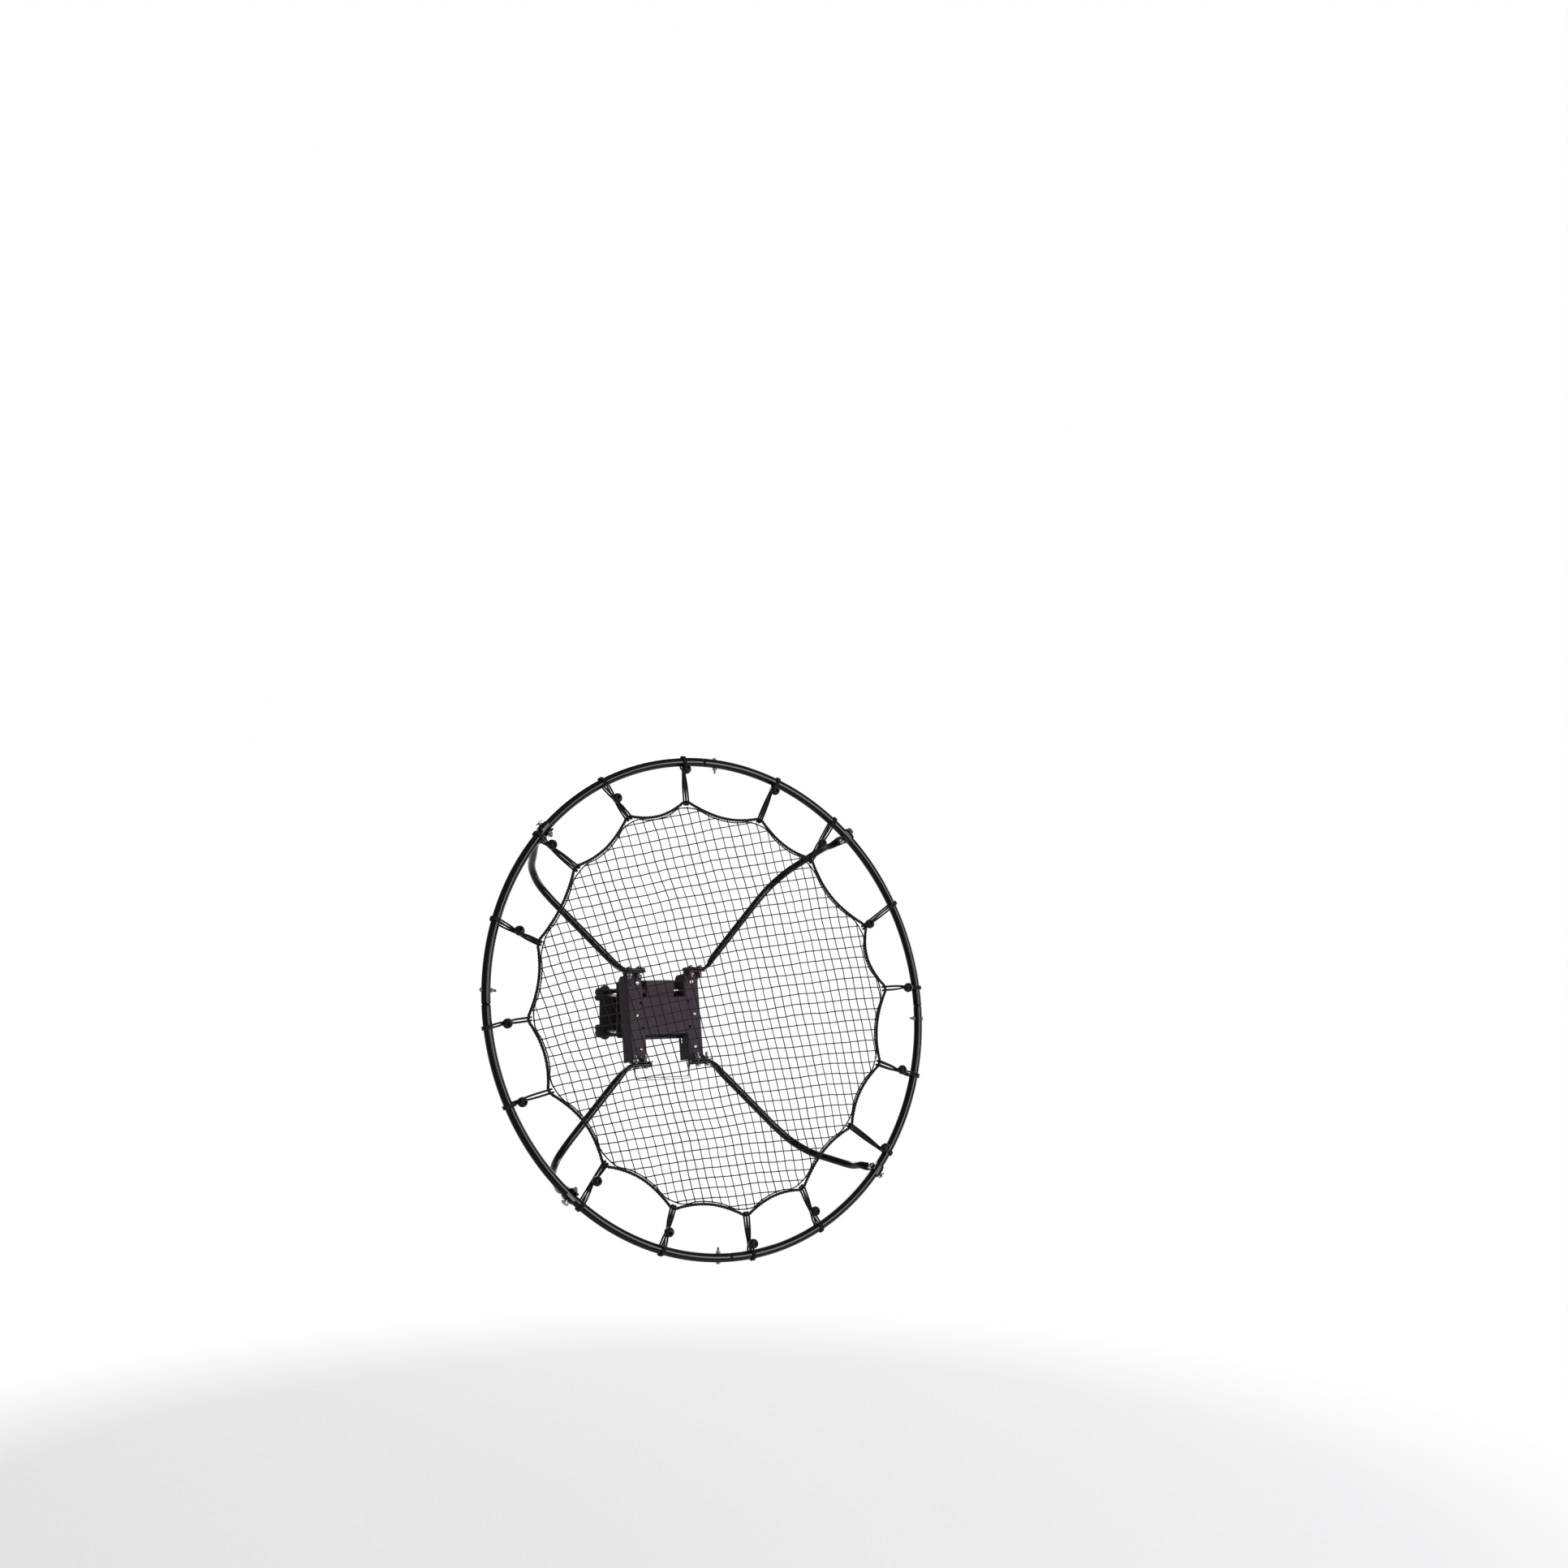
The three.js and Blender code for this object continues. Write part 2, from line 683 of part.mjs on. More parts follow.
// Net: a slanted lattice of cord, cut to the selvedge that edges it.
function knot(column, row) {
  const wave = netWave * Math.sin((row * netPitch * 2 * Math.PI) / netWaveLength);
  const across = column * netPitch + wave;
  const up = row * netPitch;
  const x = across * Math.cos(netRowTilt) - up * Math.sin(netColumnLean);
  const z = across * Math.sin(netRowTilt) + up * Math.cos(netColumnLean);
  return new THREE.Vector2(x, z);
}

function lattice(reach) {
  const count = Math.ceil(reach / netPitch);
  const half = netCord / 2 / netPitch;
  const corners = (low, high) => [knot(low, low), knot(high, low), knot(high, high), knot(low, high)];
  const sheet = new THREE.Shape(corners(-count - 1, count + 1));
  for (let column = -count; column < count; column++) {
    for (let row = -count; row < count; row++) {
      const right = column + 1 - half;
      const top = row + 1 - half;
      sheet.holes.push(new THREE.Path([
        knot(column + half, row + half),
        knot(column + half, top),
        knot(right, top),
        knot(right, row + half),
      ]));
    }
  }
  const turn = new THREE.Matrix4().makeBasis(axisX, axisZ, axisY.clone().negate());
  const options = { depth: netCord, bevelEnabled: false };
  return new THREE.ExtrudeGeometry(sheet, options).applyMatrix4(turn).translate(0, netCord / 2, 0);
}

const selvedgeInset = (ropeDiameter + selvedgeDiameter) / 2 + fitGap;
const selvedgeRoute = bungees.flatMap((_, i) =>
  selvedgeShares.map((share) => ropePoint(i, share, selvedgeInset)),
);
const widest = hoopRadius * Math.max(...bungees.map(({ pullShare }) => pullShare));
const field = upright(selvedgeRoute.map(({ x, z }) => new THREE.Vector2(x, z)), 2 * netCord);
const mesh = overlap(lattice(widest), field.translate(0, -netCord, 0));
const selvedge = closedCord(selvedgeRoute, selvedgeDiameter, selvedgeSides);
add(aroundHoop, "net", join(mesh, selvedge), twine);

// Bungees: a doubled cord round the hoop and the rope's peak, with its ball on the front run.
function bungee(i) {
  const { grip, ballShare } = bungees[i];
  const hoopEnd = polar(hoopRadius, grip * degree);
  const before = ropePoint((i + bungees.length - 1) % bungees.length, 1 - ropePeakShare);
  const after = ropePoint(i, ropePeakShare);
  const ropeEnd = before.clone().add(after).multiplyScalar(0.5);
  const inward = ropeEnd.clone().sub(hoopEnd).normalize();
  const half = cordDiameter / 2;
  const turnStep = Math.PI / cordTurnSteps;
  const hoopTurn = aroundFlats(hoopTube / 2 + runningGap, 2 * cordTurnSteps) + half;
  const ropeTurn = aroundFlats(ropeDiameter / 2 + runningGap, 2 * cordTurnSteps) + half;
  const hoopSide = polar(1, grip * degree + Math.PI / 2);
  const ropeSide = after.clone().sub(before).normalize();
  const stations = [];
  const wrap = (middle, radius, side, first) => {
    for (let step = 0; step <= cordTurnSteps; step++) {
      const angle = first + step * turnStep;
      const along = new THREE.Vector3()
        .addScaledVector(inward, -Math.sin(angle))
        .addScaledVector(axisY, Math.cos(angle));
      const place = middle
        .clone()
        .addScaledVector(inward, radius * Math.cos(angle))
        .addScaledVector(axisY, radius * Math.sin(angle));
      stations.push(ring(place, along, side, cordPair / 2, half, cordSides));
    }
  };
  wrap(hoopEnd, hoopTurn, hoopSide, Math.PI / 2);
  wrap(ropeEnd, ropeTurn, ropeSide, -Math.PI / 2);
  const loop = skin(stations, true);

  const share = (hoopRadius * (1 - ballShare)) / (hoopRadius - ropeEnd.length());
  const middle = hoopEnd.clone().lerp(ropeEnd, share);
  const ballRadius = ballDiameter / 2;
  const clearOf = (end, radius) => {
    const reach = radius + ballRadius + runningGap;
    return Math.sqrt(Math.max(reach ** 2 - middle.distanceTo(end) ** 2, 0));
  };
  const run = THREE.MathUtils.lerp(hoopTurn, ropeTurn, share);
  middle.y = -Math.max(run, clearOf(hoopEnd, hoopTube / 2), clearOf(ropeEnd, ropeDiameter / 2));
  const knob = new THREE.SphereGeometry(ballRadius, ballSides, ballRows);
  return join(loop, knob.translate(middle.x, middle.y, middle.z));
}

bungees.forEach((_, i) => add(aroundHoop, `bungee_${i + 1}`, bungee(i), elastic));

// Tilting frame: two channels open to the back and a cross plate flush with their faces.
function rail() {
  const back = railBack;
  const section = points(
    [railInner, railFront + railBend],
    [railInner + railBend, railFront],
    [railOuter - railBend, railFront],
    [railOuter, railFront + railBend],
    [railOuter, back],
    [railOuter - railWall, back],
    [railOuter - railWall, railFront + railWall],
    [railInner + railWall, railFront + railWall],
    [railInner + railWall, back],
    [railInner, back],
  );
  const channel = prism(section, 2 * railHalfHeight).translate(0, 0, -railHalfHeight);
  const past = cutOverrun;
  const corner = sideways(
    points(
      [back - railTopChamfer, railHalfHeight + past],
      [back - railTopChamfer, railHalfHeight],
      [back, railHalfHeight - railTopChamfer],
      [back + past, railHalfHeight - railTopChamfer],
      [back + past, railHalfHeight + past],
    ),
    railWidth + 2 * past,
  ).translate(railInner - past, 0, 0);
  const slot = box(
    railInner - past,
    railInner + railWall + past,
    bailDepth - rodRadius - runningGap,
    bailDepth + rodRadius + runningGap,
    rodHeight - releaseTravel - rodRadius - runningGap,
    rodHeight + rodRadius + runningGap,
  );
  const webHole = (x, z, diameter) =>
    drill(new THREE.Vector3(x, railFront, z), axisY, diameter, railWall * 2);
  return cut(
    channel,
    corner,
    slot,
    drill(new THREE.Vector3(railInner, 0, 0).add(pivotPlace), axisX, pivotDiameter, railWall * 2),
    webHole(railInner + crossHoleInset, crossHoleUp, crossHole),
    webHole(railInner + crossHoleInset, -crossHoleDown, crossHole),
    webHole(bracketBoltX, upperBoltHeight, armBoltDiameter),
    webHole(bracketBoltX, -lowerBoltHeight, armBoltDiameter),
    webHole(anchorX, anchorHeight, guideShank),
    webHole(bailHalfWidth, -guideDrop, guideShank),
  );
}

function mirrored(geometry) {
  const other = geometry.clone().scale(-1, 1, 1);
  const index = other.index.array;
  for (let i = 0; i < index.length; i += 3) {
    [index[i + 1], index[i + 2]] = [index[i + 2], index[i + 1]];
  }
  return other;
}

const rightRail = rail();
const crossHalf = railInner + railBend;
const crossPlate = box(-crossHalf, crossHalf, railFront, railFront + railWall, -crossBottom, crossTop);
add(aroundHoop, "h_frame", join(rightRail, mirrored(rightRail), crossPlate), powder);

// Pivot bolt: a long bolt with a shoulder on each side of the tilt block.
const shoulderFrom = cheekInner + cheekThickness + fitGap;
const shoulderTo = railInner - fitGap;
const pivotSeat = railInner + railWall + fitGap;
const pivotHead = hexHead(pivotDiameter);
const pivotBolt = join(
  boltWithNut(pivotDiameter, 2 * pivotSeat, bracketBoltTail, pivotHead).translate(0, 0, pivotSeat),
  rod(shoulderDiameter / 2, shoulderFrom, shoulderTo, pinSides),
  rod(shoulderDiameter / 2, -shoulderTo, -shoulderFrom, pinSides),
);
add(aroundHoop, "pivot_bolt", aimed(pivotBolt, pivotPlace, axisX), zinc);

// Release bail: a wire U whose legs end in eyes on the latch rod.
function bailRoute() {
  const low = -bailDrop;
  const straight = bailHalfWidth - bailCornerRadius;
  const route = [new THREE.Vector3(bailHalfWidth, bailDepth, rodHeight)];
  for (const side of [1, -1]) {
    for (let step = 0; step <= bailCornerSteps; step++) {
      const share = side > 0 ? step / bailCornerSteps : 1 - step / bailCornerSteps;
      const angle = (share * Math.PI) / 2;
      const x = side * (straight + bailCornerRadius * Math.cos(angle));
      route.push(new THREE.Vector3(x, bailDepth, low + bailCornerRadius * (1 - Math.sin(angle))));
    }
  }
  route.push(new THREE.Vector3(-bailHalfWidth, bailDepth, rodHeight));
  return route;
}

function openRod(route, diameter, sides) {
  const along = headings(route);
  const radius = (diameter / 2) * Math.cos(Math.PI / sides);
  return skin(route.map((place, i) => ring(place, along[i], axisY, radius, radius, sides)));
}

const bailEyes = [-1, 1].map((side) =>
  rod(
    bailEyeDiameter / 2,
    side * bailHalfWidth - bailEyeWidth / 2,
    side * bailHalfWidth + bailEyeWidth / 2,
    pinSides,
  ),
);
const bail = cut(
  join(openRod(bailRoute(), bailWire, pinSides), ...bailEyes.map((eye) => aimed(eye, latchPlace, axisX))),
  drill(latchPlace, axisX, rodDiameter, rodHalfLength + cutOverrun),
);
add(aroundHoop, "bail", bail, chrome);

// Latch rod: it lies across both rails and drops into the cheeks' notches.
const collar = rodCollarDiameter / 2;
const latchRod = join(
  rod(rodRadius, -rodHalfLength, rodHalfLength, pinSides),
  rod(collar, rodHalfLength - rodCollarWidth, rodHalfLength, pinSides),
  rod(collar, -rodHalfLength, rodCollarWidth - rodHalfLength, pinSides),
);
add(aroundHoop, "latch_rod", aimed(latchRod, latchPlace, axisX), zinc);

// Guides and spring anchors: a stud through the rail's face with a nut on each side of it.
function railStud(reach) {
  const head = hexHead(guideShank);
  const bolt = boltWithNut(guideShank, railWall + 2 * fitGap, 0, head);
  return join(bolt, rod(guideShank / 2, -reach, 0, boltSides));
}

function springLoop(place, direction) {
  const loop = new THREE.TorusGeometry(springLoopRadius, springWire / 2, springWireSides, springLoopSteps);
  return aimed(loop, place, direction);
}

[1, -1].forEach((side, i) => {
  const seat = railFront - fitGap;
  const leg = new THREE.Vector3(side * bailHalfWidth, bailDepth, -guideDrop);
  const eyeHalf = guideEyeHeight / 2;
  const eye = rod(guideEyeDiameter / 2, -eyeHalf, eyeHalf, boltSides);
  const guideSeat = new THREE.Vector3(leg.x, seat, leg.z);
  const guide = cut(
    join(
      aimed(railStud(bailDepth - seat), guideSeat, axisY.clone().negate()),
      eye.translate(leg.x, leg.y, leg.z),
    ),
    drill(leg, axisZ, bailWire + fitGap, guideEyeHeight),
  );
  add(aroundHoop, `bail_guide_${i + 1}`, guide, zinc);

  const anchorSeat = new THREE.Vector3(side * anchorX, seat, anchorHeight);
  const anchorReach = bailDepth + anchorPastRod - seat;
  const stop = rod(anchorCollarDiameter / 2, -anchorReach, anchorCollarWidth - anchorReach, boltSides);
  const anchor = join(railStud(anchorReach), stop);
  add(aroundHoop, `spring_anchor_bolt_${i + 1}`, aimed(anchor, anchorSeat, axisY.clone().negate()), zinc);

  const top = new THREE.Vector3(side * anchorX, bailDepth, anchorHeight);
  const bottom = new THREE.Vector3(side * anchorX, bailDepth, rodHeight);
  const coil = rod(springDiameter / 2, rodHeight + springHook, anchorHeight - springHook, boltSides);
  const stemFoot = rodHeight + springLoopRadius;
  const stem = rod(springWire / 2, stemFoot, anchorHeight - springLoopRadius, boltSides);
  const spring = join(
    coil.translate(side * anchorX, bailDepth, 0),
    stem.translate(side * anchorX, bailDepth, 0),
    springLoop(top, axisY),
    springLoop(bottom, axisX),
  );
  add(aroundHoop, `latch_spring_${i + 1}`, spring, zinc);
});

// Clamp: a flat plate in front, a boxed jaw behind with four ears, and four long bolts.
function cornered(halfWidth, low, high, corner) {
  return points(
    [-halfWidth + corner, low],
    [halfWidth - corner, low],
    [halfWidth, low + corner],
    [halfWidth, high - corner],
    [halfWidth - corner, high],
    [-halfWidth + corner, high],
    [-halfWidth, high - corner],
    [-halfWidth, low + corner],
  );
}

const clampPlaces = [
  [clampBoltX, upperClampBoltZ],
  [-clampBoltX, upperClampBoltZ],
  [-clampBoltX, lowerClampBoltZ],
  [clampBoltX, lowerClampBoltZ],
];

function clampHoles(y, reach) {
  return clampPlaces.map(([x, z]) => drill(new THREE.Vector3(x, y, z), axisY, clampBoltDiameter, reach));
}

const plateOutline = cornered(plateHalfWidth, -plateHalfHeight, plateHalfHeight, plateCorner);
const plate = cut(
  upright(plateOutline, plateThickness).translate(0, -plateThickness, 0),
  ...clampHoles(0, plateThickness * 2),
);
add(model, "front_clamp_plate", plate, powder);

const jawFront = clampOpening + fitGap;
const jawEnd = jawFront + jawDepth;
const webFront = jawEnd - jawThickness;
const ears = clampPlaces.map(([x, z]) => {
  const place = new THREE.Vector3(x + Math.sign(x) * earOut, webFront, z + Math.sign(z) * earRise);
  return aimed(rod(earRadius, 0, jawThickness, earSides), place, axisY);
});
const rearJaw = cut(
  join(
    box(-jawSeatHalfWidth, jawSeatHalfWidth, jawFront, jawFront + jawThickness, -jawBottom, jawTop),
    box(-jawHalfWidth, jawHalfWidth, jawFront, jawEnd, jawTop - jawThickness, jawTop),
    box(-jawHalfWidth, jawHalfWidth, jawFront, jawEnd, -jawBottom, jawThickness - jawBottom),
    box(-jawHalfWidth, jawHalfWidth, webFront, jawEnd, -jawBottom, jawTop),
    ...ears,
  ),
  ...clampHoles(webFront, jawThickness * 2),
);
add(model, "rear_clamp_jaw", rearJaw, powder);

const clampGrip = plateThickness + jawEnd + 2 * fitGap;
clampPlaces.forEach(([x, z], i) => {
  const bolt = boltWithNut(clampBoltDiameter, clampGrip, clampBoltTail, hexHead(clampBoltDiameter));
  const seat = new THREE.Vector3(x, -plateThickness - fitGap, z);
  add(model, `clamp_bolt_${i + 1}`, aimed(bolt, seat, axisY.clone().negate()), zinc);
});

// Tilt block: a box welded to the clamp plate between two cheeks, notched under the pivot.
function cheekOutline() {
  const back = -plateThickness - fitGap;
  const front = back - blockDepth;
  const nose = -pivotForward - cheekNose;
  const step = pivotHeight - cheekDrop;
  const outline = points([back, -blockBottom], [back, blockTop], [front, blockTop], [front, step]);
  outline.push(new THREE.Vector2(nose, step - (front - nose)));
  const place = (radius, angle) =>
    new THREE.Vector2(-pivotForward - radius * Math.sin(angle), pivotHeight - radius * Math.cos(angle));
  const rodLead = Math.atan2(bailBehindPivot, rodBelowPivot);
  const root = tipRadius - toothDepth;
  for (let notch = tiltNotches - 1; notch >= 0; notch--) {
    const middle = notch * tiltPitch - rodLead;
    const tip = tiltPitch / 2;
    const valley = toothRootShare * tiltPitch;
    if (notch === tiltNotches - 1) {
      outline.push(place(tipRadius, Math.asin(cheekNose / tipRadius)));
    }
    outline.push(place(root, middle + valley), place(root, middle - valley));
    outline.push(place(tipRadius, middle - tip));
  }
  outline.push(place(tipRadius, -rodLead - cheekHeel));
  return outline;
}

const blockFront = -plateThickness - fitGap - blockDepth;
const cheek = sideways(cheekOutline(), cheekThickness);
const block = box(-cheekInner, cheekInner, blockFront, blockFront + blockDepth, -blockBottom, blockTop);
const tiltBlock = cut(
  join(
    block,
    cheek.clone().translate(cheekInner, 0, 0),
    cheek.clone().translate(-cheekInner - cheekThickness, 0, 0),
  ),
  drill(new THREE.Vector3(0, -pivotForward, pivotHeight), axisX, pivotDiameter, plateHalfWidth),
);
add(model, "tilt_block", tiltBlock, powder);

export default model;
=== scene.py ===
# %% [markdown]
# # A passback rebounding net
# A hoop of black tube, about 1.25 m across, holds a square-meshed net on sixteen elastic loops.
# Four bent arms carry the hoop behind it on a small steel frame, and the frame tilts on a clamp.
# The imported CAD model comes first: it says where each piece is and what it moves with.

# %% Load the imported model
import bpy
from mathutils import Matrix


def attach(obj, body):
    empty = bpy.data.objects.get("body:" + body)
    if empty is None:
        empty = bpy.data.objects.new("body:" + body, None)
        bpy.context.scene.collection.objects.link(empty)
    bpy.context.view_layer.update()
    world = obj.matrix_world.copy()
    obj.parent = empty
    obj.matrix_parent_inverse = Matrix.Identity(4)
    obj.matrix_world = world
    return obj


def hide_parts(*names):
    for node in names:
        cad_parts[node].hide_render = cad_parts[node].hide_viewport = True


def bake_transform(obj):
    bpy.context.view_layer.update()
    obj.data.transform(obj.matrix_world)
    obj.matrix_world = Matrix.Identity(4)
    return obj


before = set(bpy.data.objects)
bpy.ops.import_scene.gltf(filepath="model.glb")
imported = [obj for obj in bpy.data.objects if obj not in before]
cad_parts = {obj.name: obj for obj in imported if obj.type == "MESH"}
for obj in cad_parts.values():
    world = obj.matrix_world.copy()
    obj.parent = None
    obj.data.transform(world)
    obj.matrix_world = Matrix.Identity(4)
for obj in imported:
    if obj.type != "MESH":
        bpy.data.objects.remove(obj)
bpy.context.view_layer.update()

# %% [markdown]
# Everything that tilts is easiest to describe in the hoop's own axes: x to the right, y back and z
# up the hoop, with the hoop's middle at the origin. One matrix turns those axes into the part's.

# %% Units and the hoop's axes
import random
from math import asin, atan2, ceil, cos, hypot, pi, radians, sin, sqrt, tau

import bmesh
import bpy
from mathutils import Matrix, Vector, noise

mm = 0.001
x_way = Vector((1, 0, 0))
y_way = Vector((0, 1, 0))
z_way = Vector((0, 0, 1))

pivot_place = Vector((0, -41.3, 49.4)) * mm
rest_tilt = radians(9)
pivot_behind_hoop = 292 * mm
pivot_above_centre = 72 * mm
hoop_axes = (
    Matrix.Translation(pivot_place)
    @ Matrix.Rotation(-rest_tilt, 4, "X")
    @ Matrix.Translation((0, -pivot_behind_hoop, -pivot_above_centre))
)
part_axes = Matrix.Identity(4)
print("hoop's middle at", hoop_axes.translation)

def polar(radius, angle, back=0.0):
    return Vector((radius * cos(angle), back, radius * sin(angle)))

def mix(a, b, share):
    return a + (b - a) * share

def new_object(name, data):
    """An object in the scene that holds a mesh, a curve, a lamp or a lens."""
    made = bpy.data.objects.new(name, data)
    bpy.context.scene.collection.objects.link(made)
    return made

# %% [markdown]
# ## The camera
# The view is from the left of the hoop and a little above its middle, with a long lens. The
# camera is level, and a small shift puts the hoop where the picture has it, as an architectural
# photographer would, so that upright edges stay upright.

# %% Camera
view_lens = bpy.data.cameras.new("view")
view_lens.sensor_width = 36
view_lens.lens = 44.21
view_lens.shift_x = 0.0115
view_lens.shift_y = 0.081
view_lens.dof.use_dof = False
camera = new_object("view", view_lens)
camera.location = (-2.4562, -4.5051, 0.2606)
camera.rotation_euler = (radians(90), 0, radians(-32.01))
bpy.context.scene.camera = camera
print("camera", camera.location[:], "lens", view_lens.lens)

# %% [markdown]
# ## Finishes
# Each finish is a node material. The effects that several finishes share, such as fine grain and
# handling marks, are node groups: a group is built once and placed in each material with its own
# numbers, so a change to it reaches all of them.

# %% Node helpers

def add_node(tree, kind, **settings):
    made = tree.nodes.new(kind)
    for key, value in settings.items():
        setattr(made, key, value)
    return made

def feed(tree, socket, value):
    """Links a socket to another socket, or sets it to a plain value."""
    if isinstance(value, bpy.types.NodeSocket):
        tree.links.new(value, socket)
    else:
        socket.default_value = value

def new_group(name, inputs, outputs):
    tree = bpy.data.node_groups.new(name, "ShaderNodeTree")
    for label, kind, value in inputs:
        socket = tree.interface.new_socket(label, in_out="INPUT", socket_type=kind)
        if value is not None:
            socket.default_value = value
    for label, kind in outputs:
        tree.interface.new_socket(label, in_out="OUTPUT", socket_type=kind)
    return tree, tree.nodes.new("NodeGroupInput"), tree.nodes.new("NodeGroupOutput")

def place_group(tree, group, **values):
    made = add_node(tree, "ShaderNodeGroup", node_tree=group)
    for label, value in values.items():
        feed(tree, made.inputs[label], value)
    return made

def noise_value(tree, vector, scale, detail=2.0, rough=0.5):
    made = tree.nodes.new("ShaderNodeTexNoise")
    feed(tree, made.inputs["Vector"], vector)
    feed(tree, made.inputs["Scale"], scale)
    made.inputs["Detail"].default_value = detail
    made.inputs["Roughness"].default_value = rough
    return made.outputs["Fac"]

def remap(tree, value, low, high, to_low=0.0, to_high=1.0):
    made = add_node(tree, "ShaderNodeMapRange", clamp=True)
    feed(tree, made.inputs["Value"], value)
    feed(tree, made.inputs["From Min"], low)
    feed(tree, made.inputs["From Max"], high)
    feed(tree, made.inputs["To Min"], to_low)
    feed(tree, made.inputs["To Max"], to_high)
    return made.outputs["Result"]

def maths(tree, operation, a, b=None):
    made = add_node(tree, "ShaderNodeMath", operation=operation)
    feed(tree, made.inputs[0], a)
    if b is not None:
        feed(tree, made.inputs[1], b)
    return made.outputs[0]

def mix_colours(tree, share, one, other):
    made = add_node(tree, "ShaderNodeMix", data_type="RGBA")
    feed(tree, made.inputs[0], share)
    feed(tree, made.inputs[6], (*one, 1) if isinstance(one, tuple) else one)
    feed(tree, made.inputs[7], (*other, 1) if isinstance(other, tuple) else other)
    return made.outputs[2]

def bump(tree, height, strength, distance):
    made = tree.nodes.new("ShaderNodeBump")
    feed(tree, made.inputs["Height"], height)
    made.inputs["Strength"].default_value = strength
    made.inputs["Distance"].default_value = distance
    return made.outputs["Normal"]

# %% [markdown]
# Two effects come back in many finishes. Fine grain is a pebbled skin made of cells and noise,
# with a speckle for its colour. Handling marks are soft patches that a finer noise breaks up: the
# mask has clear borders, and the smudge has none.

# %% Shared effects: grain and handling marks
grain_group, into, out = new_group(
    "fine_grain",
    [("Vector", "NodeSocketVector", None), ("Scale", "NodeSocketFloat", 800.0)],
    [("Height", "NodeSocketFloat"), ("Speckle", "NodeSocketFloat")],
)
pebbles = grain_group.nodes.new("ShaderNodeTexVoronoi")
feed(grain_group, pebbles.inputs["Vector"], into.outputs["Vector"])
feed(grain_group, pebbles.inputs["Scale"], into.outputs["Scale"])
ripple = noise_value(grain_group, into.outputs["Vector"], into.outputs["Scale"], 3.0)
height = maths(grain_group, "MULTIPLY", pebbles.outputs["Distance"], 0.6)
summed = maths(grain_group, "ADD", height, ripple)
feed(grain_group, out.inputs["Height"], summed)
feed(grain_group, out.inputs["Speckle"], remap(grain_group, ripple, 0.45, 0.72))

marks_group, into, out = new_group(
    "handling_marks",
    [
        ("Vector", "NodeSocketVector", None),
        ("Scale", "NodeSocketFloat", 30.0),
        ("Cover", "NodeSocketFloat", 0.5),
    ],
    [("Mask", "NodeSocketFloat"), ("Smudge", "NodeSocketFloat")],
)
patches = noise_value(marks_group, into.outputs["Vector"], into.outputs["Scale"], 5.0, 0.65)
fine_scale = maths(marks_group, "MULTIPLY", into.outputs["Scale"], 9.0)
scratches = noise_value(marks_group, into.outputs["Vector"], fine_scale, 6.0, 0.7)
edge = maths(marks_group, "SUBTRACT", 1.0, into.outputs["Cover"])
upper = maths(marks_group, "ADD", edge, 0.18)
broken = maths(marks_group, "MULTIPLY", patches, remap(marks_group, scratches, 0.3, 0.7, 0.6, 1.3))
feed(marks_group, out.inputs["Mask"], remap(marks_group, broken, edge, upper))
feed(marks_group, out.inputs["Smudge"], remap(marks_group, patches, 0.35, 0.7))
print("groups:", [group.name for group in bpy.data.node_groups])

# %% [markdown]
# Every finish starts from the same shader with its plain values.

def start_finish(name, colour, roughness, metallic=0.0, specular=0.5):
    made = bpy.data.materials.new(name)
    made.use_nodes = True
    made.diffuse_color = (*colour, 1)
    tree = made.node_tree
    sockets = tree.nodes["Principled BSDF"].inputs
    sockets["Base Color"].default_value = (*colour, 1)
    sockets["Roughness"].default_value = roughness
    sockets["Metallic"].default_value = metallic
    sockets["Specular IOR Level"].default_value = specular
    place = tree.nodes.new("ShaderNodeTexCoord")
    return made, tree, sockets, place.outputs["Object"]

def skin_and_marks(tree, sockets, here, grain, strength, depth, marks, cover):
    """A fine skin that feeds the normal, and handling marks for the gloss and the colour."""
    skin = place_group(tree, grain_group, Vector=here, Scale=grain).outputs
    feed(tree, sockets["Normal"], bump(tree, skin["Height"], strength, depth))
    return skin, place_group(tree, marks_group, Vector=here, Scale=marks, Cover=cover).outputs

def gloss_range(tree, sockets, mask, low, high):
    feed(tree, sockets["Roughness"], remap(tree, mask, 0.0, 1.0, low, high))

# %% [markdown]
# The hoop and the arms are gloss black. The latch rod is given the same finish as painted shade,
# which keeps it dark in its recess behind the cross plate. Lacquer is never quite flat: it has a
# faint ripple, called orange peel, and dull patches where hands have held it. A low specular level
# keeps the edges of the tubes black against a white room.

# %% Gloss black lacquer
gloss_black, tree, sockets, here = start_finish(
    "gloss_black_lacquer", (0.0042, 0.0032, 0.0028), 0.16, specular=0.26
)
skin, marks = skin_and_marks(tree, sockets, here, 420.0, 0.10, 0.0003, 14.0, 0.42)
gloss_range(tree, sockets, marks["Mask"], 0.13, 0.24)
tinted = mix_colours(tree, marks["Smudge"], (0.0036, 0.0026, 0.0022), (0.0062, 0.0048, 0.0046))
feed(tree, sockets["Base Color"], tinted)

# %% [markdown]
# The frame, the brackets and the clamp are powder coated: a dry violet charcoal with a fine
# pebbled skin that scatters light, paler where the coat is thin on an edge.

